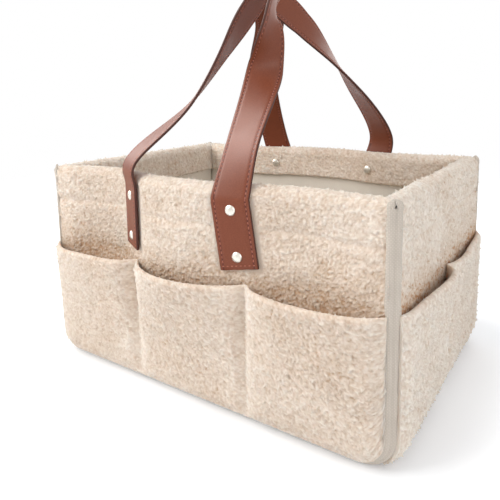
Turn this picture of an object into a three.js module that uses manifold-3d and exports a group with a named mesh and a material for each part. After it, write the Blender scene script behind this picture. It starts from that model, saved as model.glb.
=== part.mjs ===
// A soft nursery caddy: a fleece box with pockets all round and two strap handles.
// Millimetres, +Z up. X runs along the length, the front faces -Y, and the origin is the
// middle of the underside. The walls are sewn from layers: fleece outside, a felt stiffener,
// a backing patch behind each handle foot, and a cotton lining. The fleece turns over the rim
// and comes down inside as a facing. Each handle is two plies of leather with four rivets.

import * as THREE from "three";
import { mergeVertices } from "three/addons/utils/BufferGeometryUtils.js";
import Module from "manifold-3d";

const wasm = await Module();
wasm.setup();

// Body
const LENGTH = 330; // outside, along X
const WIDTH = 236; // outside, along Y
const HEIGHT = 180; // floor to rim
const INNER_CORNER_RADIUS = 8; // lower corners of the lining, seen from the front

// Wall layers, from the outside in
const FLEECE = 6;
const STIFFENER = 3;
const PATCH = 1;
const LINING = 1.2;
const FACING = 4;
const GAP = 0.3; // between layers and between pieces that touch
const FACING_DEPTH = 32; // how far the fleece comes down inside the rim
const PIPING_RADIUS = 3;

// Slow wave of the long walls: out between the handle feet, in beside them
const WAVE = 9;
const WAVE_SKEW = 0.35; // how much deeper the wave is on the left than on the right
const WAVE_START = 16; // flat height above the rounded lower corner

// Pockets
const LONG_POCKETS = 3; // on the front and on the back
const END_POCKETS = 2; // on each end
const POCKET_FLEECE = 5;
const SEAM_FLEECE = 2; // fleece pressed flat along seams and edges
const SEAM_WIDTH = 9; // from a seam to the full thickness
const OUTER_GAPE = 13; // how far the lip stands off the wall
const MIDDLE_GAPE = 10;
const END_GAPE = 8.5;
const GAPE_SQUARENESS = 2.6; // how soon the lip stands off beside a seam, 2 being a round bow
const GAPE_RISE = 1.3; // how late it stands off on the way up, 1 being a straight lean
const LIP_GAP = 10.7; // from the handle foot down to the pocket's lip
const POCKET_EASE = 1.25; // pocket panel's share of the wall's wave, to lie clear of it
const END_POCKET_TUCK = 40; // degrees round the lower corner where an end pocket is sewn in

// Handles
const STRAP_WIDTH = 30;
const PLY = 1.5;
const FOOT_LENGTH = 62;
const HINGE_RISE = 1; // fold line above the rim
const BEND_RISE = 15; // strap leaves the wall upright
const BEND_LEAN = 5;

// The soft straps lie unevenly. A foot's shift is measured from the pocket seam below it, and its slant is
// a share of its height. A leg's bends are given as place along the wall, lean in from the wall and rise
// over the rim, from its foot upwards.
const FRONT_HANDLE = {
  leftShift: -5,
  leftSlant: 0,
  rightShift: -4,
  rightSlant: -0.115,
  leftLeg: [
    [-56, BEND_LEAN, BEND_RISE],
    [-28, 44, 57],
    [3, 86, 129],
  ],
  top: [19, 100, 163],
  rightLeg: [
    [47, BEND_LEAN, BEND_RISE],
    [40, 59, 95],
    [42, 64, 133],
  ],
  twist: [50, 88, 96, 57, 158],
};
const BACK_HANDLE = {
  leftShift: -3,
  leftSlant: 0,
  rightShift: 8,
  rightSlant: 0,
  leftLeg: [
    [-59, BEND_LEAN, BEND_RISE],
    [-52, 43, 80],
    [-26, 92, 137],
  ],
  top: [0, 103, 157],
  rightLeg: [
    [67, BEND_LEAN, BEND_RISE],
    [45, 44, 76],
    [21, 90, 126],
  ],
  twist: [30, 58, 62, 75, 132],
};
const TWIST_SHARES = [0.2, 0.4, 0.5, 0.6, 0.8]; // places of the twist angles along a handle

// Rivets
const RIVET_UPPER = 18; // below the rim
const RIVET_LOWER = 9.3; // above the end of the foot
const RIVET_CAP_RADIUS = 4;
const RIVET_CAP_HEIGHT = 1.6;
const RIVET_POST_RADIUS = 1.8;
const RIVET_HOLE_CLEARANCE = 0.3;
const CAP_EASE = 0.1; // share of the wall's slope that an inside cap stands clear of
const PATCH_MARGIN = 3; // patch beyond the strap on each side

// Depths of the layers, measured inwards from the outer face of a wall
const stiffenerFrom = FLEECE + GAP;
const patchFrom = stiffenerFrom + STIFFENER + GAP;
const liningFrom = patchFrom + PATCH + GAP;
const facingFrom = liningFrom + LINING + GAP;
const facingTo = facingFrom + FACING;
const MITRE = GAP / 2;
const edgeInset = 2 * PIPING_RADIUS + GAP;
const cornerRadius = INNER_CORNER_RADIUS + facingTo + MITRE;
const rollRadius = facingTo / 2;
const slotTop = HEIGHT - rollRadius;

// Heights
const hingeZ = HEIGHT + HINGE_RISE;
const footTop = hingeZ - GAP;
const footBottom = footTop - FOOT_LENGTH;
const pocketTop = footBottom - LIP_GAP;
const waveLow = cornerRadius + WAVE_START;
const waveHigh = footBottom; // the wave is full from the handle feet up
const WAVE_STEPS = 3;
const waveLevels = Array.from(
  { length: WAVE_STEPS + 1 },
  (_, i) => waveLow + ((waveHigh - waveLow) * i) / WAVE_STEPS,
);

const strapThickness = 2 * PLY + GAP;
const footX = LENGTH / LONG_POCKETS / 2;
const straightHalf = LENGTH / 2 - cornerRadius;
const DENT_STEPS = 4; // stations along a long wall, from a corner to a foot
const BULGE_STEPS = 6; // and from foot to foot
const CORNER_STEPS = 4; // stations round a lower corner

// Looks, one material for each finish
const finish = {
  fleece: new THREE.MeshStandardMaterial({ color: 0xeee3d6, roughness: 1 }),
  canvas: new THREE.MeshStandardMaterial({ color: 0xe6dccb, roughness: 0.95 }),
  felt: new THREE.MeshStandardMaterial({ color: 0xb9b4ac, roughness: 1 }),
  board: new THREE.MeshStandardMaterial({ color: 0x8f8b84, roughness: 0.7 }),
  webbing: new THREE.MeshStandardMaterial({ color: 0x9b8f80, roughness: 0.9 }),
  piping: new THREE.MeshStandardMaterial({ color: 0xcbc4ba, roughness: 0.8 }),
  leather: new THREE.MeshStandardMaterial({ color: 0x8e5643, roughness: 0.5 }),
  nickel: new THREE.MeshStandardMaterial({ color: 0xdad7d0, roughness: 0.25, metalness: 1 }),
};

const caddy = new THREE.Group();

function addPiece(name, geometry, material) {
  const mesh = new THREE.Mesh(geometry, material);
  mesh.name = name;
  caddy.add(mesh);
}

// Solids

// Welds a geometry's vertices and turns its faces outwards.
function closed(geometry) {
  const bare = new THREE.BufferGeometry().setAttribute("position", geometry.getAttribute("position"));
  bare.setIndex(geometry.index);
  const welded = mergeVertices(bare, 1e-4);
  const position = welded.getAttribute("position");
  const kept = [];
  const corners = [new THREE.Vector3(), new THREE.Vector3(), new THREE.Vector3()];
  let volume = 0;
  for (let i = 0; i < welded.index.count; i += 3) {
    const face = [0, 1, 2].map((k) => welded.index.getX(i + k));
    if (new Set(face).size < 3) continue;
    kept.push(...face);
    face.forEach((v, k) => corners[k].fromBufferAttribute(position, v));
    volume += corners[0].dot(corners[1].clone().cross(corners[2]));
  }
  if (volume < 0) kept.reverse();
  welded.setIndex(kept);
  return welded;
}

const isHigher = (p, q) => (Math.abs(p.z - q.z) > 1e-4 ? p.z > q.z : p.x > q.x);

// End caps of a sheet. Its ring goes up one face and down the other, so the cap is a ladder between them.
const ladder = (size) =>
  Array.from({ length: size / 2 - 1 }, (_, i) => [
    [i, i + 1, size - 2 - i],
    [i, size - 2 - i, size - 1 - i],
  ]).flat();

// A solid through rings of points. The outline gives the flat shape of a ring, for its end caps.
// Each four-sided patch is split the same way up, so that layers that follow one curve stay parallel.
function loft(rings, outline, caps = ladder(outline.length)) {
  const size = outline.length;
  const index = [];
  const clockwise = THREE.ShapeUtils.isClockWise(outline);
  for (let k = 0; k + 1 < rings.length; k++) {
    for (let j = 0; j < size; j++) {
      const next = (j + 1) % size;
      const [a, b, c, d] = [k * size + j, k * size + next, (k + 1) * size + next, (k + 1) * size + j];
      if (isHigher(rings[k][next], rings[k][j])) index.push(a, b, c, a, c, d);
      else index.push(a, b, d, b, c, d);
    }
  }
  const last = (rings.length - 1) * size;
  for (const [a, b, c] of caps) {
    const toB = outline[b].clone().sub(outline[a]);
    const toC = outline[c].clone().sub(outline[a]);
    const turn = toB.cross(toC);
    const [p, q, r] = turn > 0 === clockwise ? [a, c, b] : [a, b, c];
    index.push(p, r, q, last + p, last + q, last + r);
  }
  const geometry = new THREE.BufferGeometry().setFromPoints(rings.flat());
  geometry.setIndex(index);
  return closed(geometry);
}

function toSolid(geometry) {
  const mesh = closed(geometry);
  return new wasm.Manifold(
    new wasm.Mesh({
      numProp: 3,
      vertProperties: new Float32Array(mesh.getAttribute("position").array),
      triVerts: new Uint32Array(mesh.index.array),
    }),
  );
}

// The geometry with the cutters taken away.
function cut(geometry, cutters) {
  const solid = cutters.reduce((rest, cutter) => rest.subtract(toSolid(cutter)), toSolid(geometry));
  const mesh = solid.getMesh();
  const result = new THREE.BufferGeometry();
  result.setAttribute("position", new THREE.BufferAttribute(new Float32Array(mesh.vertProperties), 3));
  result.setIndex(new THREE.BufferAttribute(new Uint32Array(mesh.triVerts), 1));
  return result;
}

const smooth = (t) => {
  const s = THREE.MathUtils.clamp(t, 0, 1);
  return s * s * (3 - 2 * s);
};

// Long walls: front (side -1) and back (side 1). Outward distance q is side times y.

// The wave is nothing at the feet and at the corners. Its two parts meet at a foot with one slope.
function waveAt(x) {
  const share = WAVE * (1 - (WAVE_SKEW * 2 * x) / LENGTH);
  const past = Math.abs(x) - footX;
  if (past <= 0) return share * Math.cos((Math.PI * x) / (2 * footX));
  const reach = straightHalf - footX;
  return past >= reach ? 0 : (-share * reach * Math.sin((Math.PI * past) / reach)) / (2 * footX);
}
const waveSlope = (x) => waveAt(x + 0.5) - waveAt(x - 0.5);
const waveShare = (z) => smooth((z - waveLow) / (waveHigh - waveLow));
const wallFace = (x, z) => WIDTH / 2 + waveAt(x) * waveShare(z);
const mitreInset = (depth) => Math.max(edgeInset, depth + MITRE);

// Stations along a long wall: straight ones by x, then round each lower corner by angle.
const spread = (from, to, steps) => Array.from({ length: steps }, (_, i) => from + ((to - from) * i) / steps);
const straightPlaces = [
  ...spread(-straightHalf, -footX, DENT_STEPS),
  ...spread(-footX, footX, BULGE_STEPS),
  ...spread(footX, straightHalf, DENT_STEPS),
  straightHalf,
];
const stations = [
  ...Array.from({ length: CORNER_STEPS }, (_, i) => ({ end: -1, turn: 1 - i / CORNER_STEPS })),
  ...straightPlaces.map((x) => ({ end: 0, x })),
  ...Array.from({ length: CORNER_STEPS }, (_, i) => ({ end: 1, turn: (i + 1) / CORNER_STEPS })),
];

// Where a station lies at a depth in the wall, and how low the wall's outline is there.
function outlineAt(station, depth) {
  const inset = mitreInset(depth);
  if (station.end === 0) return { x: station.x, z: inset };
  const angle = (station.turn * Math.PI) / 2;
  const radius = cornerRadius - inset;
  return {
    x: station.end * (straightHalf + radius * Math.sin(angle)),
    z: cornerRadius - radius * Math.cos(angle),
  };
}

// A layer of a long wall. The section lists depth and height, and a height of null is the outline's foot.
function longLayer(side, section) {
  const rings = stations.map((station) =>
    section.map(([depth, height]) => {
      const foot = outlineAt(station, depth);
      const z = height === null ? foot.z : height;
      return new THREE.Vector3(foot.x, side * (wallFace(foot.x, z) - depth), z);
    }),
  );
  const outline = section.map(([depth, height]) => new THREE.Vector2(depth, height === null ? 0 : height));
  return loft(rings, outline, capsOf(section, outline));
}

// A plain sheet has two depths. The fleece has more, as it hooks over the rim.
function capsOf(section, outline) {
  const depths = new Set(section.map(([depth]) => depth));
  return depths.size === 2 ? ladder(outline.length) : THREE.ShapeUtils.triangulateShape(outline, []);
}

const sheetSection = (from, to, top) => [
  [from, null],
  ...waveLevels.map((z) => [from, z]),
  [from, top],
  [to, top],
  ...[...waveLevels].reverse().map((z) => [to, z]),
  [to, null],
];

// The fleece over the rim: a half round on top, the facing inside, and a slot for the inner layers.
const ROLL_STEPS = 6;
const rimSection = [
  ...Array.from({ length: ROLL_STEPS + 1 }, (_, i) => {
    const angle = Math.PI * (1 - i / ROLL_STEPS);
    return [rollRadius * (1 + Math.cos(angle)), slotTop + rollRadius * Math.sin(angle)];
  }),
  [facingTo, HEIGHT - FACING_DEPTH],
  [facingFrom, HEIGHT - FACING_DEPTH],
  [facingFrom, slotTop],
  [FLEECE, slotTop],
];

const longPanelSection = [
  [0, null],
  ...waveLevels.map((z) => [0, z]),
  ...rimSection,
  ...[...waveLevels].reverse().map((z) => [FLEECE, z]),
  [FLEECE, null],
];

// End walls: left (side -1) and right (side 1). They turn under at the bottom.

function bendPoints(depth, firstAngle) {
  const radius = cornerRadius - depth;
  return Array.from({ length: CORNER_STEPS + 1 }, (_, i) => {
    const angle = THREE.MathUtils.degToRad(firstAngle + ((90 - firstAngle) * i) / CORNER_STEPS);
    return [depth, cornerRadius - radius * Math.cos(angle), cornerRadius - radius * Math.sin(angle)];
  });
}

// A layer of an end wall. Each point of the section has its depth, height and distance from the end.
function endLayer(side, section) {
  const rings = [-1, 1].map((edge) =>
    section.map(([depth, z, inwards]) => {
      const halfWidth = WIDTH / 2 - mitreInset(depth);
      return new THREE.Vector3(side * (LENGTH / 2 - inwards), edge * halfWidth, z);
    }),
  );
  const outline = section.map(([, z, inwards]) => new THREE.Vector2(inwards, z));
  return loft(rings, outline, capsOf(section, outline));
}

const endPanelSection = [
  ...bendPoints(0, 0),
  ...rimSection.map(([depth, z]) => [depth, z, depth]),
  ...bendPoints(FLEECE, 0).reverse(),
];

const bentSheetSection = (from, to, top) => [
  ...bendPoints(from, 0),
  [from, top, from],
  [to, top, to],
  ...bendPoints(to, 0).reverse(),
];

const uprightSection = (from, to, bottom, top) => [
  [from, bottom, from],
  [from, top, from],
  [to, top, to],
  [to, bottom, to],
];

// A flat sheet of the base, between two heights, with its edges mitred to the long walls.
function baseLayer(from, to) {
  const halfLength = straightHalf - GAP;
  const rings = [-1, 1].map((end) =>
    [
      [from, -1],
      [to, -1],
      [to, 1],
      [from, 1],
    ].map(([z, edge]) => new THREE.Vector3(end * halfLength, edge * (WIDTH / 2 - mitreInset(z)), z)),
  );
  return loft(rings, rings[0].map((p) => new THREE.Vector2(p.y, p.z)));
}

// Pockets: fleece sewn down at the wall's edges and along seams, with a panel for each pocket.

const POCKET_SPANS = [0.1, 0.3, 0.5, 0.7, 0.9];
const CORNER_SPANS = [0.02, 0.05]; // extra places at the rounded lower corners
const LONG_RISES = [0, 0.15, 0.4, 0.7, 0.92, 1];
const BEND_RISES = [0, 0.1, 0.2, 0.3, 0.4]; // the part of an end pocket that goes round the bend
const END_RISES = [...BEND_RISES, 0.6, 0.8, 0.94, 1];

// Edges of a wall's pockets: the wall's own edges and the seams between.
function pocketEdges(half, pitch, count) {
  const seams = Array.from({ length: count - 1 }, (_, i) => pitch * (i + 1 - count / 2));
  return [-half, ...seams, half];
}

// Stations across one pocket: place along the wall, distance to its nearer edge, and how far it stands off.
function pocketStations(edges, i, gape) {
  const isFirst = i === 0;
  const isLast = i === edges.length - 2;
  const from = edges[i] + (isFirst ? 0 : GAP / 2);
  const to = edges[i + 1] - (isLast ? 0 : GAP / 2);
  const shares = [
    0,
    ...(isFirst ? CORNER_SPANS : []),
    ...POCKET_SPANS,
    ...(isLast ? CORNER_SPANS.map((share) => 1 - share).reverse() : []),
    1,
  ];
  return shares.map((share) => ({
    along: THREE.MathUtils.lerp(from, to, share),
    toSeam: Math.min(share, 1 - share) * (to - from),
    stand: gape * (1 - Math.abs(2 * share - 1) ** GAPE_SQUARENESS),
  }));
}

// How thick the pocket's fleece is near a seam, and how far the pocket stands off at a share of its rise.
const pocketThickness = (toSeam) =>
  THREE.MathUtils.lerp(SEAM_FLEECE, POCKET_FLEECE, smooth(toSeam / SEAM_WIDTH));
const pocketStand = (station, rise) => station.stand * rise ** GAPE_RISE;

// A panel from two faces, each given as a place for a station and a rise.
function pocketPanel(across, rises, inner, outer) {
  const falls = [...rises].reverse();
  const rings = across.map((station) => [
    ...rises.map((rise) => inner(station, rise)),
    ...falls.map((rise) => outer(station, rise)),
  ]);
  const outline = [
    ...rises.map((rise) => new THREE.Vector2(0, rise)),
    ...falls.map((rise) => new THREE.Vector2(1, rise)),
  ];
  return loft(rings, outline);
}

function longPocket(side, i) {
  const edges = pocketEdges(LENGTH / 2 - edgeInset, LENGTH / LONG_POCKETS, LONG_POCKETS);
  const isOuter = i === 0 || i === LONG_POCKETS - 1;
  const footOf = (x) => {
    const past = Math.abs(x) - straightHalf;
    const radius = cornerRadius - edgeInset;
    return past <= 0 ? edgeInset : cornerRadius - Math.sqrt(Math.max(0, radius * radius - past * past));
  };
  const at = (station, rise, lift) => {
    const z = THREE.MathUtils.lerp(footOf(station.along), pocketTop, rise);
    const wall = WIDTH / 2 + POCKET_EASE * Math.max(0, wallFace(station.along, z) - WIDTH / 2);
    return new THREE.Vector3(station.along, side * (wall + GAP + pocketStand(station, rise) + lift), z);
  };
  const thick = (station, rise) => pocketThickness(Math.min(station.toSeam, rise * pocketTop));
  return pocketPanel(
    pocketStations(edges, i, isOuter ? OUTER_GAPE : MIDDLE_GAPE),
    LONG_RISES,
    (station, rise) => at(station, rise, 0),
    (station, rise) => at(station, rise, thick(station, rise)),
  );
}

function endPocket(side, i) {
  const half = WIDTH / 2 - edgeInset;
  const edges = pocketEdges(half, (2 * half) / END_POCKETS, END_POCKETS);
  const bendShare = BEND_RISES[BEND_RISES.length - 1];
  const at = (station, rise, lift) => {
    const stand = GAP + pocketStand(station, rise) + lift;
    if (rise >= bendShare) {
      const z = THREE.MathUtils.lerp(cornerRadius, pocketTop, (rise - bendShare) / (1 - bendShare));
      return new THREE.Vector3(side * (LENGTH / 2 + stand), station.along, z);
    }
    const angle = THREE.MathUtils.degToRad(THREE.MathUtils.lerp(END_POCKET_TUCK, 90, rise / bendShare));
    const radius = cornerRadius + stand;
    return new THREE.Vector3(
      side * (straightHalf + radius * Math.sin(angle)),
      station.along,
      cornerRadius - radius * Math.cos(angle),
    );
  };
  const thick = (station, rise) => pocketThickness(Math.min(station.toSeam, rise * pocketTop));
  return pocketPanel(
    pocketStations(edges, i, END_GAPE),
    END_RISES,
    (station, rise) => at(station, rise, 0),
    (station, rise) => at(station, rise, thick(station, rise)),
  );
}

// Piping: a cord in the seam down one edge of a long wall, along the bottom and up the other edge.
function piping(side) {
  const CORNER_TURNS = 5;
  const radius = cornerRadius - PIPING_RADIUS;
  const top = HEIGHT - PIPING_RADIUS;
  const path = [{ x: -(LENGTH / 2 - PIPING_RADIUS), z: top, angle: -90 }];
  for (const end of [-1, 1]) {
    for (let i = 0; i <= CORNER_TURNS; i++) {
      const turn = end < 0 ? 90 - (90 * i) / CORNER_TURNS : (90 * i) / CORNER_TURNS;
      const rad = THREE.MathUtils.degToRad(turn);
      path.push({
        x: end * (straightHalf + radius * Math.sin(rad)),
        z: cornerRadius - radius * Math.cos(rad),
        angle: end * turn,
      });
    }
  }
  path.push({ x: LENGTH / 2 - PIPING_RADIUS, z: top, angle: 90 });
  const SIDES = 8;
  const section = Array.from({ length: SIDES }, (_, i) => {
    const a = (2 * Math.PI * (i + 0.5)) / SIDES;
    const reach = PIPING_RADIUS / Math.cos(Math.PI / SIDES);
    return new THREE.Vector2(reach * Math.cos(a), reach * Math.sin(a));
  });
  const rings = path.map(({ x, z, angle }) => {
    const rad = THREE.MathUtils.degToRad(angle);
    return section.map(
      (p) =>
        new THREE.Vector3(
          x + p.x * Math.sin(rad),
          side * (WIDTH / 2 - PIPING_RADIUS + p.y),
          z - p.x * Math.cos(rad),
        ),
    );
  });
  return loft(rings, section, THREE.ShapeUtils.triangulateShape(section, []));
}

// Handles

// The feet of a handle, and the middle of a foot at a height.
const feetOf = (handle) => [
  { name: "left", x: -footX + handle.leftShift, slant: handle.leftSlant },
  { name: "right", x: footX + handle.rightShift, slant: handle.rightSlant },
];
const footAt = (foot, z) => foot.x + foot.slant * (z - footBottom);

// A foot's ply, laid on the wall. The lift is measured out from the wall's face.
function footPly(side, foot, lift) {
  const FOOT_SPANS = [-1, -0.5, 0, 0.5, 1];
  const profile = [
    [lift, footBottom],
    [lift, footTop],
    [lift + PLY, footTop],
    [lift + PLY, footBottom],
  ];
  const rings = FOOT_SPANS.map((span) => {
    return profile.map(([up, z]) => {
      const px = footAt(foot, z) + (span * STRAP_WIDTH) / 2;
      return new THREE.Vector3(px, side * (wallFace(px, z) + up), z);
    });
  });
  return loft(rings, profile.map(([up, z]) => new THREE.Vector2(up, z)));
}

const innerLift = GAP;
const outerLift = GAP + PLY + GAP;

// The middle line of a handle from left to right, as x, outward distance and height.
function handleLine(handle) {
  const start = (x) => wallFace(x, HEIGHT) + innerLift + strapThickness / 2;
  const [left, right] = feetOf(handle).map((foot) => {
    const x = footAt(foot, hingeZ);
    return new THREE.Vector3(x, start(x), hingeZ + GAP);
  });
  const bend = ([along, lean, rise]) => new THREE.Vector3(along, start(footX) - lean, HEIGHT + rise);
  const points = [
    left,
    ...handle.leftLeg.map(bend),
    bend(handle.top),
    ...handle.rightLeg.map(bend).reverse(),
    right,
  ];
  return new THREE.CatmullRomCurve3(points, false, "centripetal");
}

// How far a handle is turned about its middle line, in radians, at a share of its length.
function handleTwist(handle) {
  const [first, last] = feetOf(handle).map((foot) => Math.atan(waveSlope(footAt(foot, hingeZ))));
  const middle = handle.twist.map((angle) => THREE.MathUtils.degToRad(angle));
  const turns = new THREE.CubicInterpolant([0, ...TWIST_SHARES, 1], [first, ...middle, Math.PI + last], 1);
  return (share) => turns.evaluate(share)[0];
}

// A handle's ply: a ribbon that turns half round from one foot to the other.
function handlePly(side, handle, lift) {
  const STRAP_STEPS = 44;
  const line = handleLine(handle);
  const twist = handleTwist(handle);
  const section = [
    [-1, lift],
    [1, lift],
    [1, lift + PLY],
    [-1, lift + PLY],
  ];
  const rings = Array.from({ length: STRAP_STEPS + 1 }, (_, i) => {
    const share = i / STRAP_STEPS;
    const centre = line.getPointAt(share);
    const along = i === 0 ? new THREE.Vector3(0, 0, 1) : line.getTangentAt(share);
    if (i === STRAP_STEPS) along.set(0, 0, -1);
    const turn = twist(share);
    const across = new THREE.Vector3(-Math.cos(turn), -Math.sin(turn), 0);
    across.addScaledVector(along, -across.dot(along)).normalize();
    const out = new THREE.Vector3().crossVectors(across, along);
    return section.map(([edge, up]) => {
      const p = centre.clone();
      p.addScaledVector(across, (edge * STRAP_WIDTH) / 2);
      p.addScaledVector(out, up - strapThickness / 2);
      return new THREE.Vector3(p.x, side * p.y, p.z);
    });
  });
  return loft(rings, section.map(([edge, up]) => new THREE.Vector2(edge, up)));
}

// Rivets: a domed cap with its post outside, and a flat cap inside.

const RIVET_SIDES = 10;
const rivetOutside = innerLift + strapThickness;

// Turns a piece made along +Z so that +Z points out of the wall at a foot.
function onWall(geometry, side, x, z) {
  const slope = waveSlope(x);
  const out = new THREE.Vector3(-slope, 1, 0).normalize();
  const across = new THREE.Vector3(1, slope, 0).normalize();
  const place = new THREE.Matrix4().makeBasis(across, new THREE.Vector3(0, 0, 1), out);
  place.setPosition(x, wallFace(x, z), z);
  if (side < 0) place.premultiply(new THREE.Matrix4().makeScale(1, -1, 1));
  return closed(geometry.clone().applyMatrix4(place));
}

// A turned piece on the Z axis, from radius and height pairs that start and end on the axis.
function turned(profile) {
  const lathe = new THREE.LatheGeometry(
    profile.map(([r, h]) => new THREE.Vector2(r, h)),
    RIVET_SIDES,
  );
  return closed(lathe.rotateX(Math.PI / 2));
}

const capProfile = (base, radius) => [
  [radius, base],
  [radius, base + RIVET_CAP_HEIGHT * 0.35],
  [radius * 0.82, base + RIVET_CAP_HEIGHT * 0.75],
  [radius * 0.45, base + RIVET_CAP_HEIGHT * 0.96],
  [0, base + RIVET_CAP_HEIGHT],
];

const rivetStud = (reach) =>
  turned([
    [0, -reach],
    [RIVET_POST_RADIUS, -reach],
    [RIVET_POST_RADIUS, rivetOutside + GAP],
    ...capProfile(rivetOutside + GAP, RIVET_CAP_RADIUS),
  ]);

const rivetBack = (reach) =>
  turned([
    [0, -reach - GAP - RIVET_CAP_HEIGHT],
    [RIVET_CAP_RADIUS, -reach - GAP - RIVET_CAP_HEIGHT],
    [RIVET_CAP_RADIUS, -reach - GAP],
    [0, -reach - GAP],
  ]);

const rivetHole = (reach) => {
  const radius = RIVET_POST_RADIUS + RIVET_HOLE_CLEARANCE;
  const past = reach + rivetOutside + 4 * GAP;
  return turned([
    [0, -past],
    [radius, -past],
    [radius, past],
    [0, past],
  ]);
};

// The slope of the wall at a foot makes the layers a little deeper along the rivet.
const rivetLevels = [
  { name: "upper", z: HEIGHT - RIVET_UPPER, depth: facingTo },
  { name: "lower", z: footBottom + RIVET_LOWER, depth: liningFrom + LINING },
];

function footPatch(side, foot) {
  const half = STRAP_WIDTH / 2 + PATCH_MARGIN;
  const x = footAt(foot, (footBottom + slotTop) / 2);
  const profile = [
    [patchFrom, footBottom],
    [patchFrom, slotTop - GAP],
    [patchFrom + PATCH, slotTop - GAP],
    [patchFrom + PATCH, footBottom],
  ];
  const rings = [-1, -0.5, 0, 0.5, 1].map((span) => {
    const px = x + span * half;
    return profile.map(([depth, z]) => new THREE.Vector3(px, side * (wallFace(px, z) - depth), z));
  });
  return loft(rings, profile.map(([depth, z]) => new THREE.Vector2(depth, z)));
}

// Assembly

const longSides = [
  { name: "front", side: -1, handle: FRONT_HANDLE },
  { name: "back", side: 1, handle: BACK_HANDLE },
];
const endSides = [
  { name: "left", side: -1 },
  { name: "right", side: 1 },
];

// A wall's first and last pockets are named for the corner that they are next to.
const middleName = (i, count) => (count === 3 ? "middle" : `middle_${i}`);
const pocketName = (first, last, count) => (i) =>
  i === 0 ? first : i === count - 1 ? last : middleName(i, count);
const longPocketName = pocketName("left", "right", LONG_POCKETS);
const endPocketName = pocketName("front", "back", END_POCKETS);

for (const { name, side, handle } of longSides) {
  const feet = feetOf(handle);
  const holes = feet.flatMap((foot) =>
    rivetLevels.map(({ z }) => onWall(rivetHole(facingTo + FLEECE), side, footAt(foot, z), z)),
  );
  const liningTop = slotTop - GAP;
  const stiffener = longLayer(side, sheetSection(stiffenerFrom, stiffenerFrom + STIFFENER, liningTop));
  const lining = longLayer(side, sheetSection(liningFrom, liningFrom + LINING, liningTop));
  addPiece(`${name}_panel`, cut(longLayer(side, longPanelSection), holes), finish.fleece);
  addPiece(`${name}_stiffener`, cut(stiffener, holes), finish.felt);
  addPiece(`${name}_lining`, cut(lining, holes), finish.canvas);
  for (let i = 0; i < LONG_POCKETS; i++) {
    addPiece(`${name}_${longPocketName(i)}_pocket_panel`, longPocket(side, i), finish.fleece);
  }
  addPiece(`${name}_piping`, piping(side), finish.piping);

  for (const foot of feet) {
    const place = `${name}_${foot.name}`;
    addPiece(`${place}_foot_inner_ply`, cut(footPly(side, foot, innerLift), holes), finish.leather);
    addPiece(`${place}_foot_outer_ply`, cut(footPly(side, foot, outerLift), holes), finish.leather);
    addPiece(`${place}_backing_patch`, cut(footPatch(side, foot), holes), finish.webbing);
    for (const { name: level, z, depth } of rivetLevels) {
      const x = footAt(foot, z);
      const lean = Math.sqrt(1 + waveSlope(x) ** 2);
      const reach = depth / lean + RIVET_CAP_RADIUS * Math.abs(waveSlope(x)) * CAP_EASE;
      addPiece(`${place}_${level}_rivet`, onWall(rivetStud(reach), side, x, z), finish.nickel);
      addPiece(`${place}_${level}_rivet_back`, onWall(rivetBack(reach), side, x, z), finish.nickel);
    }
  }

  addPiece(`${name}_handle_inner_ply`, handlePly(side, handle, 0), finish.leather);
  addPiece(`${name}_handle_outer_ply`, handlePly(side, handle, PLY + GAP), finish.leather);
}

for (const { name, side } of endSides) {
  const top = slotTop - GAP;
  const stiffener = uprightSection(stiffenerFrom, stiffenerFrom + STIFFENER, cornerRadius + GAP, top);
  const lining = bentSheetSection(liningFrom, liningFrom + LINING, top);
  addPiece(`${name}_end_panel`, endLayer(side, endPanelSection), finish.fleece);
  addPiece(`${name}_stiffener`, endLayer(side, stiffener), finish.felt);
  addPiece(`${name}_lining`, endLayer(side, lining), finish.canvas);
  for (let i = 0; i < END_POCKETS; i++) {
    addPiece(`${name}_${endPocketName(i)}_pocket_panel`, endPocket(side, i), finish.fleece);
  }
}

addPiece("base_panel", baseLayer(0, FLEECE), finish.canvas);
addPiece("base_board", baseLayer(stiffenerFrom, stiffenerFrom + STIFFENER), finish.board);
addPiece("base_lining", baseLayer(liningFrom, liningFrom + LINING), finish.canvas);

export default caddy;
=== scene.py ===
# %% [markdown]
# # A fleece nursery caddy
# The caddy is a soft open box. Its walls are curly fleece over felt, with pockets all round, a cotton
# lining inside, pale tape in the corner seams, and two leather straps that are riveted to the long walls.
# A plain solid model gives every piece its place. This lesson dresses that model, one piece at a time.
# Lengths are in metres, +Z is up, +X runs along the caddy and the front faces -Y.

# %% Load the plain model
import math

import bmesh
import bpy
import numpy as np
from mathutils import Matrix, Vector


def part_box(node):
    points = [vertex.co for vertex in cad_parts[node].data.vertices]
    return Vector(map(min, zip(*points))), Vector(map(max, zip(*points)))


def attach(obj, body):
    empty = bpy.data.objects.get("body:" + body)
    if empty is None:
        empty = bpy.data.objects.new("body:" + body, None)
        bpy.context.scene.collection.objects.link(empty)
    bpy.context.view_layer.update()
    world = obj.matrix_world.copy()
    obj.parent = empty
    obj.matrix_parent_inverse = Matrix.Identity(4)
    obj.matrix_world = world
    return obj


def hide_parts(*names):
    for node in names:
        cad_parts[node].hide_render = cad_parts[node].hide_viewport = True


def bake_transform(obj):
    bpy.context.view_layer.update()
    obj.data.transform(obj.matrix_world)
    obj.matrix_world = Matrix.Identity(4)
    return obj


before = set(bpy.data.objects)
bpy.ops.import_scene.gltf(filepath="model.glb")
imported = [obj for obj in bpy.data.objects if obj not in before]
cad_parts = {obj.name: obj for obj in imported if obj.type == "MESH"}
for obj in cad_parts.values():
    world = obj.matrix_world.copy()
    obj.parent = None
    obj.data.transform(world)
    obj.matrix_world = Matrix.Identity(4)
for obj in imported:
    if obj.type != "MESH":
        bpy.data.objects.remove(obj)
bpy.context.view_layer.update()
print("plain pieces:", len(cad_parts))

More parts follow.
